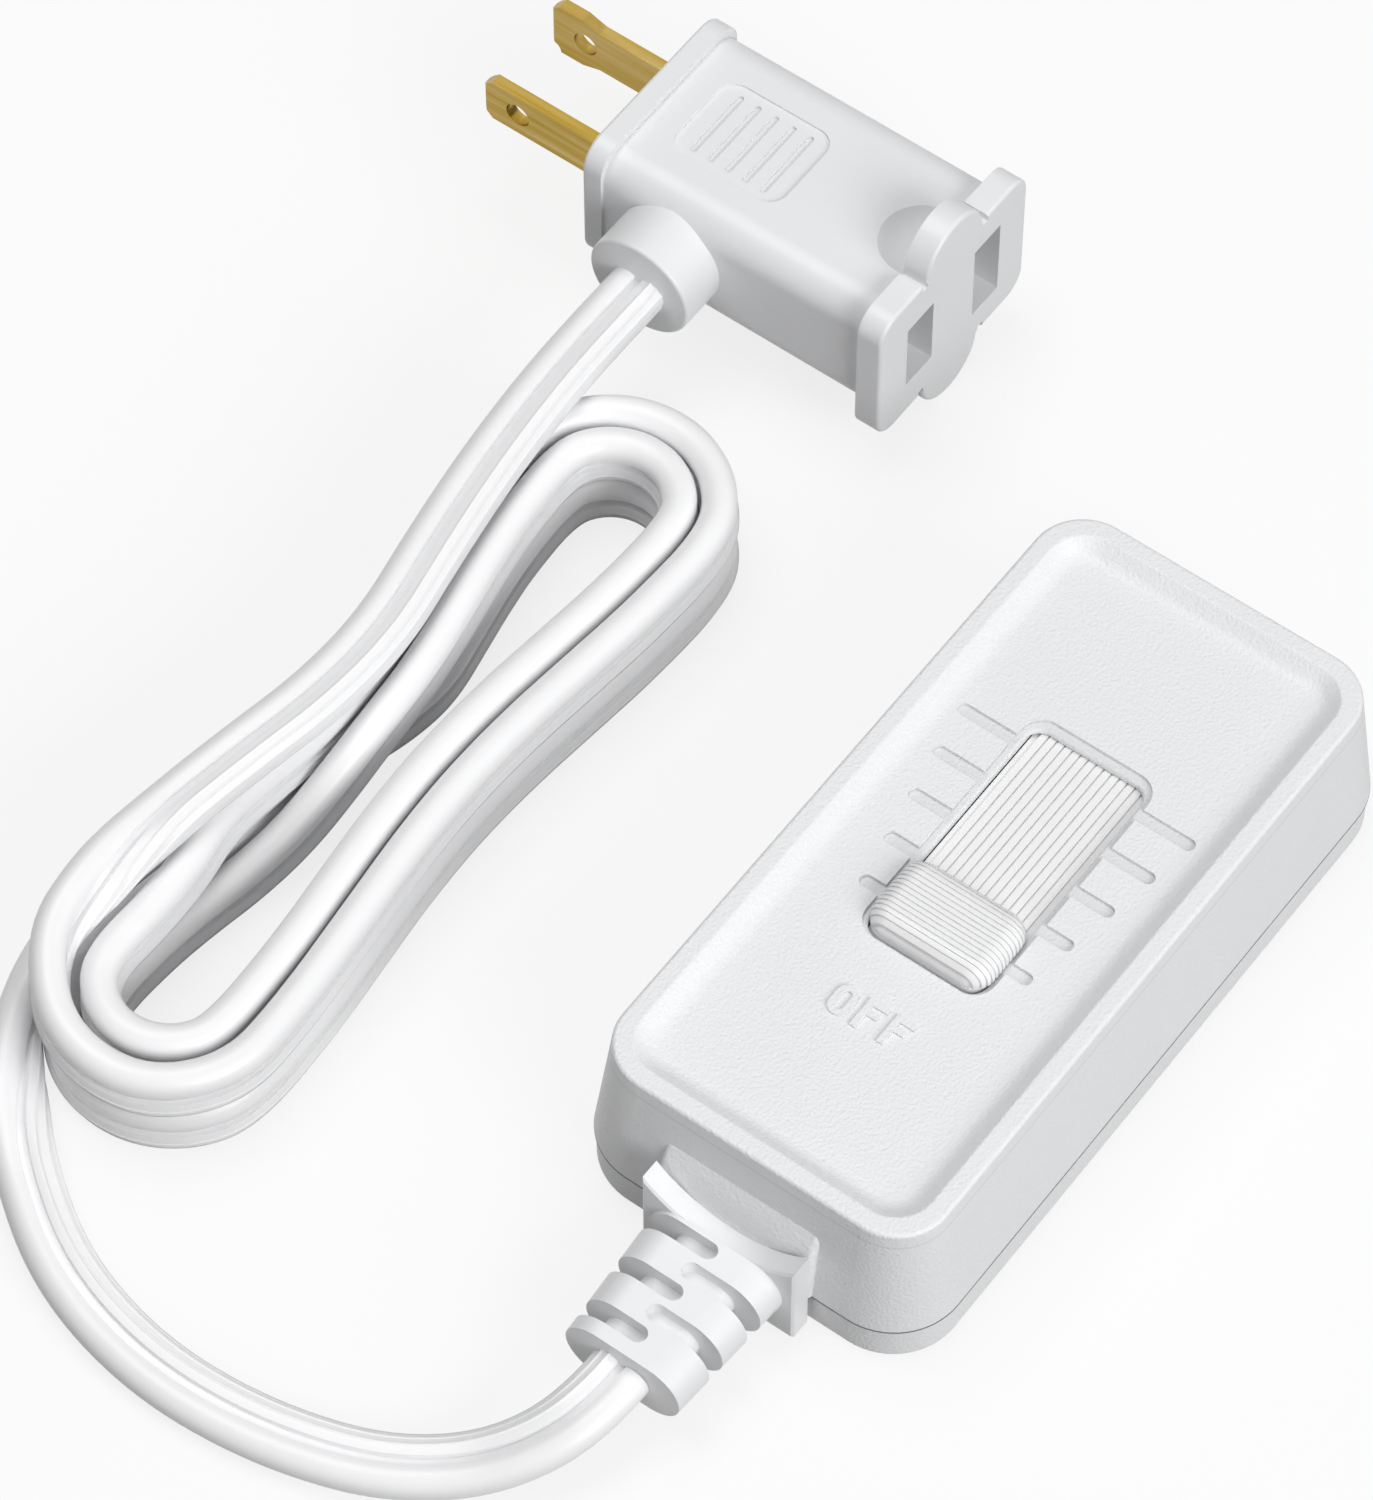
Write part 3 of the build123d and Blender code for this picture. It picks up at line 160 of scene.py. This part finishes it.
def bottom_run(column, layer, share):
    """The point of a bottom run at a share of its length, counted from the left."""
    draw = BOTTOM_DRAW * math.sin(math.pi * share) ** 2
    y = MID_Y - TURN_RADIUS + draw + column * COLUMN_PITCH
    return (LEFT_X + share * (RIGHT_X - LEFT_X), y, layer)


waist = top_run(1, 0.5)[1] - bottom_run(1, FIRST_LAYER, 0.5)[1]
print(f"second loop: {waist:.1f} mm between its runs at the waist")

# %% [markdown]
# The turns at both ends are half circles. The curve cuts inside its control points,
# so these stand a little outside the circle that the cord follows. The second loop
# lies inside the first, then the third rises onto it, and the fourth comes out again.
# The first loop starts where the free stretch from the box leaves off, and the last
# one stops before its left turn, which belongs to the stretch that goes to the plug.

# %% Cord route: the turns and the whole hank
LOOP_COLUMNS = (0, 1, 1, 0)
TOP_STATIONS, BOTTOM_STATIONS, TURN_STATIONS = 12, 8, 6
# The first station of the first loop, the last one of the last loop, and its end.
ENTRY_STATION, EXIT_STATION = 3, 2
EXIT_X = -52.0


def half_turn(x, side, column, layer):
    """Control points of a turn round (x, MID_Y): side 1 is the right end, -1 the left end."""
    step = math.pi / TURN_STATIONS
    radius = (TURN_RADIUS - column * COLUMN_PITCH) / math.cos(step / 2)
    points = []
    for i in range(TURN_STATIONS):
        angle = (i + 0.5) * step
        across, upward = side * radius * math.sin(angle), side * radius * math.cos(angle)
        points.append((x + across, MID_Y + upward, layer))
    return points


def loop_points(loop):
    """Control points of one loop, from its top run to its left turn."""
    column = LOOP_COLUMNS[loop]
    layer = FIRST_LAYER + LAYER_PITCH * (loop > 1)
    first = ENTRY_STATION if loop == 0 else 1
    last = EXIT_STATION if loop == 3 else 1
    points = [top_run(loop, i / TOP_STATIONS) for i in range(first, TOP_STATIONS)]
    points += half_turn(RIGHT_X, 1, column, layer)
    for i in range(BOTTOM_STATIONS - 1, last - 1, -1):
        points.append(bottom_run(column, layer, i / BOTTOM_STATIONS))
    if loop < 3:
        points += half_turn(LEFT_X, -1, column, layer)
    return points


hank_points = [point for loop in range(len(LOOP_COLUMNS)) for point in loop_points(loop)]
hank_points.append((EXIT_X, MID_Y - TURN_RADIUS, FIRST_LAYER + LAYER_PITCH))
route = route_from_box + hank_points + route_to_plug
print("control points:", len(route))

# %% [markdown]
# Blender can draw a smooth line from these points in two ways. A Bezier curve goes
# through each point and needs two handles there. A NURBS curve of order 3 only stays
# near its points and needs no handles, so it suits a cord whose points only guide it. Its
# order and end points are set after the points are added, because earlier settings
# would be lost. A mesh made from the curve is a fine line of points, and the section
# of the cord can be placed at each of them.

# %% Smooth line of the cord
LINE_STEPS = 8


def smooth_line(points, steps):
    """The places along a NURBS curve that has these control points, in metres."""
    curve = bpy.data.curves.new("cord_line", "CURVE")
    curve.dimensions = "3D"
    spline = curve.splines.new("NURBS")
    spline.points.add(len(points) - 1)
    for target, point in zip(spline.points, points):
        target.co = (*(value * MM for value in point), 1.0)
    spline.order_u = 3
    spline.use_endpoint_u = True
    spline.resolution_u = steps
    holder = bpy.data.objects.new("cord_line", curve)
    bpy.context.scene.collection.objects.link(holder)
    line = bpy.data.meshes.new_from_object(holder)
    places = [vertex.co.copy() for vertex in line.vertices]
    bpy.data.objects.remove(holder)
    bpy.data.meshes.remove(line)
    return places


cord_line = smooth_line(route, LINE_STEPS)
cord_length = sum((b - a).length for a, b in zip(cord_line, cord_line[1:]))
print(f"cord: {len(cord_line)} places, {cord_length:.3f} m")

# %% [markdown]
# Cut across, the cord is two round lobes joined by a narrow flat web, as on any lamp
# cord. One lobe has fine ribs along it, which tell its conductor from the other. They
# could be a bump in the finish, but a bump doesn't change the outline, and these ribs
# show there, so they are part of the shape. The corners of the web and the feet of
# the ribs are marked as sharp, so that they will show as crisp lines.

# %% Cord section
CORD_LOBE = 4.0
LOBE_SIDES = 14
WEB_WIDTH, WEB_THICKNESS, WEB_WALL = 0.9, 2.3, 0.12
RIB_ANGLES, RIB_HALF_ANGLE, RIB_RAISE = (-84, -56, -28, 28, 56, 84), 5, 0.2


def lobe_rim(radius, limit, ribs):
    """Points (angle, radius, sharp) round a lobe, from -limit to limit degrees, with ribs."""
    rim = []
    for i in range(LOBE_SIDES):
        angle = limit * (2 * i / (LOBE_SIDES - 1) - 1)
        if all(abs(angle - rib) > 2 * RIB_HALF_ANGLE for rib in ribs):
            rim.append((angle, radius, i in (0, LOBE_SIDES - 1)))
    for rib in ribs:
        rim.append((rib - RIB_HALF_ANGLE, radius, True))
        rim.append((rib, radius + RIB_RAISE, False))
        rim.append((rib + RIB_HALF_ANGLE, radius, True))
    return sorted(rim)


def cord_section():
    """Outline as (across, thickness, sharp) in metres: web edge, lobe, web edge, twice."""
    radius = CORD_LOBE / 2
    centre = CORD_WIDTH / 2 - radius
    limit = math.degrees(math.acos((WEB_WIDTH / 2 + WEB_WALL - centre) / radius))
    outline = []
    for side, ribs in ((1, ()), (-1, RIB_ANGLES)):
        outline.append((side * WEB_WIDTH / 2, -side * WEB_THICKNESS / 2, True))
        for angle, reach, sharp in lobe_rim(radius, limit, ribs):
            across = centre + reach * math.cos(math.radians(angle))
            outline.append((side * across, side * reach * math.sin(math.radians(angle)), sharp))
        outline.append((side * WEB_WIDTH / 2, side * WEB_THICKNESS / 2, True))
    return [(across * MM, thick * MM, sharp) for across, thick, sharp in outline]


cord_outline = cord_section()
sharp_points = [sharp for across, thick, sharp in cord_outline]
print("section:", len(cord_outline), "points,", sum(sharp_points), "of them sharp")

# %% [markdown]
# A flat cord bends easily over its thin side only, so in the hank it stands on edge.
# A roll angle says how far it is turned: not at all on the ground and at the plug, and
# a quarter turn in the hank. The curve's own Tilt could hold this angle, but it is
# added to the twist that the curve gets from its bends. Here the roll is counted
# from level ground, and changes smoothly over two stretches of the line.

# %% Cord roll
QUARTER_TURN = math.radians(90)
TURNS_UP = ((-81.4, 64.5, FLOOR_HEIGHT), (-62.0, 80.9, 3.4))
LIES_DOWN = ((-66.5, 74.0, 13.2), (-40.0, 75.4, 15.8))


def nearest(point):
    """The number of the place on the cord's line that is nearest to a point."""
    target = Vector(point) * MM
    return min(range(len(cord_line)), key=lambda i: (cord_line[i] - target).length)


up_start, up_end = [nearest(point) for point in TURNS_UP]
down_start, down_end = [nearest(point) for point in LIES_DOWN]


def roll(i):
    """The roll angle at a place of the line."""
    return QUARTER_TURN * (ease(i, up_start, up_end) - ease(i, down_start, down_end))


print("turns up at", up_start, "to", up_end, "and lies down at", down_start, "to", down_end)

# %% [markdown]
# Blender can sweep a bevel object along a curve, but then the curve decides how the
# section stands. Here the roll has to be exact, so the section is placed in code. At
# each place of the line, one direction is level and one points up from the ground,
# and the roll turns the section from the first towards the second.

# %% Rings of the cord
def section_rings(line, section, roll_at):
    """The points of the section at each place of the line."""
    rings = []
    for i, place in enumerate(line):
        before, after = line[max(i - 1, 0)], line[min(i + 1, len(line) - 1)]
        along = (after - before).normalized()
        level = Vector((0, 0, 1)).cross(along).normalized()
        upward = along.cross(level)
        angle = roll_at(i)
        across = level * math.cos(angle) + upward * math.sin(angle)
        thick = along.cross(across)
        rings.append([place + across * a + thick * t for a, t, sharp in section])
    return rings


cord_rings = section_rings(cord_line, cord_outline, roll)
print("rings:", len(cord_rings), "with", len(cord_rings[0]), "points each")

# %% [markdown]
# The cord's outside is one unbroken skin. The rings could be joined with the Bridge
# Edge Loops tool, but bmesh, Blender's own way to build a mesh in code, also says which
# edge belongs to which row. Each ring is joined to the next with four-sided faces, and
# the two ends are closed. Faces are shaded smooth, apart from the ends, and only the
# rows that the section marks as sharp keep a crisp edge.

# %% Skin of the cord
def skin_over(name, rings, sharp_rows):
    """A piece with a closed skin over rings of points. Rows marked as sharp stay crisp."""
    mesh = bmesh.new()
    rings = [[mesh.verts.new(point) for point in ring] for ring in rings]
    count = len(sharp_rows)
    for ring, following in zip(rings, rings[1:]):
        for j in range(count):
            k = (j + 1) % count
            mesh.faces.new((ring[j], ring[k], following[k], following[j]))
    mesh.faces.new(rings[0][::-1])
    mesh.faces.new(rings[-1])
    for ring, following in zip(rings, rings[1:]):
        for j, sharp in enumerate(sharp_rows):
            mesh.edges.get((ring[j], following[j])).smooth = not sharp
    bmesh.ops.recalc_face_normals(mesh, faces=mesh.faces)
    for face in mesh.faces:
        face.smooth = len(face.verts) == 4
    data = bpy.data.meshes.new(name)
    mesh.to_mesh(data)
    mesh.free()
    piece = bpy.data.objects.new(name, data)
    bpy.context.scene.collection.objects.link(piece)
    return piece


cord = skin_over("flat_cord", cord_rings, sharp_points)
print("cord mesh:", len(cord.data.polygons), "faces")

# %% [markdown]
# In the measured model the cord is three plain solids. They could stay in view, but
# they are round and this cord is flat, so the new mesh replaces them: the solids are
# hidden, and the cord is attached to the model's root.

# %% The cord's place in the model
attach(cord, "root")
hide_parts("cord_lead_dimmer", "cord_hank", "cord_lead_plug")
print("cord ends at", [round(value / MM, 1) for value in cord_line[-1]], "mm, in the plug")

# %% [markdown]
# Moulded plastic is never one flat colour. Its tone and gloss drift a little, and a
# fine grain catches the light. Image textures could show this, but they need an
# unwrapped surface and blur up close. Noise in the piece's own space needs no
# unwrapping, and its spots have the same size in millimetres on every piece. Tone,
# gloss and grain each get noise of their own. The grain is a bump with a real depth.

# %% Tone, gloss and grain from noise
TONE_DETAIL, GLOSS_DETAIL, GRAIN_DETAIL = 3.0, 4.0, 2.0
# Noise values for the darkest and the lightest tone, and how far the light side goes.
TONE_ENDS, LIGHT_SHARE = (0.3, 0.7), 0.4
GLOSS_DRIFT, GLOSS_SIZE, LEAST_ROUGHNESS = 0.05, 5.0, 0.02


def noise(tree, place, size, detail):
    """A socket with noise whose spots are about that size, in millimetres."""
    node = tree.nodes.new("ShaderNodeTexNoise")
    node.inputs["Scale"].default_value = 1 / (size * MM)
    node.inputs["Detail"].default_value = detail
    tree.links.new(place, node.inputs["Vector"])
    return node.outputs["Fac"]


def tone(tree, place, color, drift, size):
    """A colour that drifts to the dark side by that much, and less to the light side."""
    ramp = tree.nodes.new("ShaderNodeValToRGB")
    dark, light = ramp.color_ramp.elements
    dark.position, light.position = TONE_ENDS
    dark.color = (*[max(c - drift, 0) for c in color], 1)
    light.color = (*[min(c + drift * LIGHT_SHARE, 1) for c in color], 1)
    tree.links.new(noise(tree, place, size, TONE_DETAIL), ramp.inputs["Fac"])
    return ramp.outputs["Color"]


def gloss(tree, place, roughness):
    """A roughness that drifts a little to both sides."""
    spread = tree.nodes.new("ShaderNodeMapRange")
    spread.inputs["To Min"].default_value = max(roughness - GLOSS_DRIFT, LEAST_ROUGHNESS)
    spread.inputs["To Max"].default_value = min(roughness + GLOSS_DRIFT, 1)
    tree.links.new(noise(tree, place, GLOSS_SIZE, GLOSS_DETAIL), spread.inputs["Value"])
    return spread.outputs["Result"]


def relief(tree, place, depth, size):
    """A normal with a bump of that depth and grain size, in millimetres."""
    bump = tree.nodes.new("ShaderNodeBump")
    bump.inputs["Strength"].default_value = 1.0
    bump.inputs["Distance"].default_value = depth * MM
    tree.links.new(noise(tree, place, size, GRAIN_DETAIL), bump.inputs["Height"])
    return bump.outputs["Normal"]


print("a spot of 1 mm is a noise scale of", round(1 / MM))

# %% [markdown]
# One function puts these together on a Principled shader, which suits plastic and
# metal alike. Writing the nodes out for every finish would work too, but then a
# change to one would have to be made in all. Metal that was brushed or drawn has
# marks along its length: its noise changes much less along Y, so its spots become
# streaks. The first finish is the case's plastic, with its fine matte grain.

# %% Finish of the case
def finish(
    name, color, roughness, metallic=0.0, drift=0.02, drift_size=18.0,
    grain=0.0, grain_size=0.4, brushed=1.0,
):
    """A finish with drifting tone and gloss and a fine bump; sizes are in millimetres."""
    material = bpy.data.materials.new(name)
    material.use_nodes = True
    tree = material.node_tree
    shader = tree.nodes["Principled BSDF"]
    shader.inputs["Metallic"].default_value = metallic
    own_space = tree.nodes.new("ShaderNodeTexCoord")
    streaks = tree.nodes.new("ShaderNodeMapping")
    streaks.inputs["Scale"].default_value = (1, brushed, 1)
    tree.links.new(own_space.outputs["Object"], streaks.inputs["Vector"])
    place = streaks.outputs["Vector"]
    tree.links.new(tone(tree, place, color, drift, drift_size), shader.inputs["Base Color"])
    tree.links.new(gloss(tree, place, roughness), shader.inputs["Roughness"])
    if grain:
        tree.links.new(relief(tree, place, grain, grain_size), shader.inputs["Normal"])
    return material


case_white = finish(
    "case_white", (0.80, 0.805, 0.815), roughness=0.46, grain=0.11, grain_size=0.38, drift=0.01
)
print(case_white.name, "has", len(case_white.node_tree.nodes), "nodes")

# %% [markdown]
# The other white plastics could share the case's finish, but on the real object they
# differ a little, and one finish for all would make it look like a single lump. The
# slider and the plug are smoother than the case. The cord is a soft satin, whose
# plastic also reflects less, so its Specular IOR Level is lower.

# %% White plastics
CORD_REFLECTION = 0.35

slider_white = finish(
    "slider_white", (0.84, 0.84, 0.845), roughness=0.33, grain=0.008, grain_size=0.3, drift=0.01
)
plug_white = finish(
    "plug_white", (0.80, 0.805, 0.815), roughness=0.36, grain=0.012, grain_size=0.6, drift=0.012
)
cord_white = finish(
    "cord_white", (0.88, 0.88, 0.888), roughness=0.30, grain=0.008, grain_size=1.2, drift=0.012
)
cord_shader = cord_white.node_tree.nodes["Principled BSDF"]
cord_shader.inputs["Specular IOR Level"].default_value = CORD_REFLECTION
wire_white = finish("wire_white", (0.78, 0.78, 0.78), roughness=0.42, grain=0.01, grain_size=0.8)
whites = (case_white, slider_white, plug_white, cord_white, wire_white)
print("white finishes:", [material.name for material in whites])

# %% [markdown]
# The two shells of the box meet in a fine gap, and the gap and the floors of the tick
# marks lie in shade. That shade is painted here: a dark line along the joint, and a
# darker tone on the tick floors. Both could be faces with a finish of their own, but
# the measured mesh is kept as it is. Since each lies at one height, a Compare node
# can pick it out: it gives 1 where the surface is within a set distance of a level,
# and 0 elsewhere. A Mix node uses that to choose between two colours. Sockets of a
# Math node share one name, so they are reached by number: the value, the level it is
# compared with, and the distance.

# %% Painted shade: joint line and tick floors of the case
# Painted shade: a dark line where the two shells meet, standing in for the shadow in the gap
# between them.
JOINT_LEVEL, JOINT_HALF, JOINT_PAINTED_SHADE = 5.38, 0.14, (0.13, 0.13, 0.135)
# Painted shade: the tick floors are darkened for the shade that falls in these shallow recesses.
TICK_LEVEL, TICK_HALF, TICK_PAINTED_SHADE = 19.75, 0.12, (0.70, 0.705, 0.715)
# A Mix node has a set of sockets for each kind of data. These are the ones for colours.
COLOR_A, COLOR_B, COLOR_RESULT = 6, 7, 2


def color_mix(tree, share):
    """A Mix node for colours, as its sockets for the colour at 0, at 1, and the result."""
    mix = tree.nodes.new("ShaderNodeMix")
    mix.data_type = "RGBA"
    tree.links.new(share, mix.inputs["Factor"])
    return mix.inputs[COLOR_A], mix.inputs[COLOR_B], mix.outputs[COLOR_RESULT]


def level_band(material, level, half, color):
    """Change the colour of a finish where the surface lies near a level, in millimetres."""
    tree = material.node_tree
    base = tree.nodes["Principled BSDF"].inputs["Base Color"]
    own_space = next(node for node in tree.nodes if node.type == "TEX_COORD")
    split = tree.nodes.new("ShaderNodeSeparateXYZ")
    tree.links.new(own_space.outputs["Object"], split.inputs["Vector"])
    near = tree.nodes.new("ShaderNodeMath")
    near.operation = "COMPARE"
    near.inputs[1].default_value = level * MM
    near.inputs[2].default_value = half * MM
    tree.links.new(split.outputs["Z"], near.inputs[0])
    away, close, result = color_mix(tree, near.outputs["Value"])
    tree.links.new(base.links[0].from_socket, away)
    close.default_value = (*color, 1)
    tree.links.new(result, base)


# Painted shadow in the gap along the joint of the shells.
level_band(case_white, JOINT_LEVEL, JOINT_HALF, JOINT_PAINTED_SHADE)
# Painted shade on the floors of the tick marks.
level_band(case_white, TICK_LEVEL, TICK_HALF, TICK_PAINTED_SHADE)
print("bands at", JOINT_LEVEL, "and", TICK_LEVEL, "mm")

# %% [markdown]
# The blades are brass with faint marks along their length, so their noise is drawn
# out. The pieces inside the closed box could be left grey, because the camera never
# sees them. But another scene may open the box, so each has the colour of the real
# one: a brown board, black mouldings, copper wire, amber and tan components.

# %% Metals, and the dark or coloured parts inside
blade_brass = finish(
    "blade_brass", (0.46, 0.32, 0.085), roughness=0.28, metallic=1.0, drift=0.1, drift_size=1.1,
    grain=0.012, grain_size=0.35, brushed=0.04,
)
screw_zinc = finish(
    "screw_zinc", (0.60, 0.61, 0.63), roughness=0.32, metallic=1.0, drift=0.04, grain=0.01
)
sink_metal = finish(
    "sink_metal", (0.76, 0.77, 0.78), roughness=0.38, metallic=1.0, drift=0.03, grain=0.008
)
board_brown = finish("board_brown", (0.42, 0.27, 0.11), roughness=0.55, drift=0.05, grain=0.02)
part_black = finish("part_black", (0.035, 0.035, 0.038), roughness=0.45, drift=0.01, grain=0.015)
core_grey = finish("core_grey", (0.07, 0.07, 0.075), roughness=0.6, drift=0.02, grain=0.03)
coil_copper = finish(
    "coil_copper", (0.62, 0.26, 0.10), roughness=0.3, metallic=1.0, drift=0.08,
    grain=0.12, grain_size=0.5,
)
film_amber = finish("film_amber", (0.60, 0.40, 0.06), roughness=0.3, drift=0.04, grain=0.01)
lacquer_tan = finish("lacquer_tan", (0.62, 0.48, 0.30), roughness=0.4, drift=0.04, grain=0.01)
print("materials in the file:", len(bpy.data.materials))

# %% [markdown]
# Each piece of the measured model now gets its finish in place of its plain one. The
# finishes could be set by hand in the material tab, piece by piece. A list for each
# finish does all of them in one loop, and shows at a glance which pieces are made of
# the same stuff.

# %% Dress the pieces
dress = {
    case_white: ["top_cover", "bottom_cover"],
    slider_white: ["slider_knob", "dust_shield", "slider_carriage"],
    plug_white: ["plug_body", "strain_relief"],
    wire_white: ["inner_wires", "plug_wires"],
    blade_brass: [
        "line_blade",
        "neutral_blade",
        "line_contact",
        "neutral_contact",
        "line_terminals",
        "switch_leaves",
        "wiper_spring",
    ],
    screw_zinc: ["case_screws", "board_screws", "triac_leadframe"],
    sink_metal: ["heat_sink"],
    board_brown: ["circuit_board"],
    part_black: ["track_housing", "switch_block", "triac_body", "resistive_strip"],
    core_grey: ["choke_core"],
    coil_copper: ["choke_winding"],
    film_amber: ["film_capacitor", "timing_capacitor"],
    lacquer_tan: ["resistors", "diac"],
}
for material, names in dress.items():
    for name in names:
        nodes[name].data.materials.clear()
        nodes[name].data.materials.append(material)
cord.data.materials.append(cord_white)
print("dressed:", sum(len(names) for names in dress.values()), "pieces and the cord")

# %% [markdown]
# The object stands on a plain pale ground with a soft shadow. A curved backdrop could
# hide the horizon, but a wide flat plane does the same from this high camera, and it
# serves every other view too.

# %% Floor
FLOOR_SIZE, FLOOR_ROUGHNESS = 6.0, 0.9

bpy.ops.mesh.primitive_plane_add(size=FLOOR_SIZE, location=(0, 0, 0))
floor = bpy.context.object
floor.name = "floor"
floor_pale = bpy.data.materials.new("floor_pale")
floor_pale.use_nodes = True
floor.data.materials.append(floor_pale)
ground = floor_pale.node_tree.nodes["Principled BSDF"]
ground.inputs["Roughness"].default_value = FLOOR_ROUGHNESS
print("floor:", FLOOR_SIZE, "m wide")

# %% [markdown]
# The ground reads almost white in the picture. More lamp light could do that, but it
# would wash out the white plastic as well. So most of its brightness is its own glow,
# which only the camera and rays that reflect or pass through something can see. For
# light that bounces off it the floor is darker, so the sides of the object keep their
# shade. The Light Path node tells these rays apart.

# %% Rays that see the floor's glow
def seen_rays(tree):
    """A socket that is 1 for rays from the camera, and for reflected or refracted ones."""
    rays = tree.nodes.new("ShaderNodeLightPath")
    seen = rays.outputs["Is Camera Ray"]
    for kind in ("Is Glossy Ray", "Is Transmission Ray"):
        either = tree.nodes.new("ShaderNodeMath")
        either.operation = "MAXIMUM"
        tree.links.new(seen, either.inputs[0])
        tree.links.new(rays.outputs[kind], either.inputs[1])
        seen = either.outputs["Value"]
    return seen


floor_tree = floor_pale.node_tree
floor_seen = seen_rays(floor_tree)
print("floor nodes so far:", len(floor_tree.nodes))

# %% [markdown]
# The floor now needs two colours and a glow. A glow alone would be simpler, but it
# takes no shadow, and the object would seem to float. So the plain shader keeps a
# fifth of the floor's look, with the shadow in it, and an Emission shader gives the
# rest. A Mix Shader node adds them up for the rays that see it.

# %% Glow of the floor
WHITE = (1, 1, 1, 1)
SEEN_TONE, BOUNCE_TONE = (0.86, 0.86, 0.86, 1), (0.18, 0.18, 0.18, 1)
GLOW_SHARE = 0.8


def mix_shaders(tree, share, first, second, output):
    """Show the first shader where the share is 0, and the second where it is 1."""
    mix = tree.nodes.new("ShaderNodeMixShader")
    for source, socket in zip((share, first, second), mix.inputs):
        tree.links.new(source, socket)
    tree.links.new(mix.outputs["Shader"], tree.nodes[output].inputs["Surface"])


unseen_color, seen_color, floor_color = color_mix(floor_tree, floor_seen)
unseen_color.default_value = BOUNCE_TONE
seen_color.default_value = SEEN_TONE
floor_tree.links.new(floor_color, ground.inputs["Base Color"])
glow = floor_tree.nodes.new("ShaderNodeEmission")
glow.inputs["Color"].default_value = WHITE
glow_share = floor_tree.nodes.new("ShaderNodeMath")
glow_share.operation = "MULTIPLY"
glow_share.inputs[1].default_value = GLOW_SHARE
floor_tree.links.new(floor_seen, glow_share.inputs[0])
mix_shaders(
    floor_tree,
    glow_share.outputs["Value"],
    ground.outputs["BSDF"],
    glow.outputs["Emission"],
    "Material Output",
)
print("floor glows by", GLOW_SHARE, "to the camera")

# %% [markdown]
# The surroundings of a studio are bright overhead and dim at the horizon. An even
# grey world would be simpler, but it would light the sides as much as the top. Here a
# colour ramp follows the height in the sky. To the camera, and in mirror reflections,
# the world is plain white instead, so that low views have no dark horizon.

# %% Surroundings
SKY_STRENGTH = 0.42
HORIZON_HEIGHT, HORIZON_TONE = 0.1, (0.20, 0.20, 0.205, 1)
OVERHEAD_HEIGHT = 0.85

scene = bpy.context.scene
scene.view_settings.view_transform = "Standard"
studio = bpy.data.worlds.new("studio")
studio.use_nodes = True
scene.world = studio
sky_tree = studio.node_tree
direction = sky_tree.nodes.new("ShaderNodeTexCoord")
height = sky_tree.nodes.new("ShaderNodeSeparateXYZ")
sky_tree.links.new(direction.outputs["Generated"], height.inputs["Vector"])
ramp = sky_tree.nodes.new("ShaderNodeValToRGB")
horizon, overhead = ramp.color_ramp.elements
horizon.position, overhead.position = HORIZON_HEIGHT, OVERHEAD_HEIGHT
horizon.color, overhead.color = HORIZON_TONE, WHITE
sky_tree.links.new(height.outputs["Z"], ramp.inputs["Fac"])
sky = sky_tree.nodes["Background"]
sky.inputs["Strength"].default_value = SKY_STRENGTH
sky_tree.links.new(ramp.outputs["Color"], sky.inputs["Color"])
backdrop = sky_tree.nodes.new("ShaderNodeBackground")
backdrop.inputs["Color"].default_value = WHITE
mix_shaders(
    sky_tree,
    seen_rays(sky_tree),
    sky.outputs["Background"],
    backdrop.outputs["Background"],
    "World Output",
)
print("sky strength:", SKY_STRENGTH)

# %% [markdown]
# Two soft lamps give the object its form. A sun lamp would do for the direction of the
# light, but its shadows have hard edges unless its angle is widened. Area lamps are
# the large softboxes of a studio, and their size sets how soft the shadow is. The key
# lamp stands high behind the object and gives the top faces their tone. The fill
# lamp stands low in front, and lifts the near sides, which stay a step darker.

# %% Lamps
LAMP_TARGET = (0, 0.03, 0)
LAMP_SHAPE = 0.7


def lamp(name, place, size, power):
    """A soft lamp that faces the object: size in metres, power in watts."""
    data = bpy.data.lights.new(name, "AREA")
    data.shape = "RECTANGLE"
    data.size = size
    data.size_y = size * LAMP_SHAPE
    data.energy = power
    holder = bpy.data.objects.new(name, data)
    holder.location = place
    facing = Vector(LAMP_TARGET) - Vector(place)
    holder.rotation_euler = facing.to_track_quat("-Z", "Y").to_euler()
    scene.collection.objects.link(holder)


lamp("key", place=(0.05, 0.36, 1.15), size=0.8, power=5.4)
lamp("fill", place=(-0.26, -1.02, 0.62), size=0.9, power=10.9)
print("lamps:", len(bpy.data.lights))
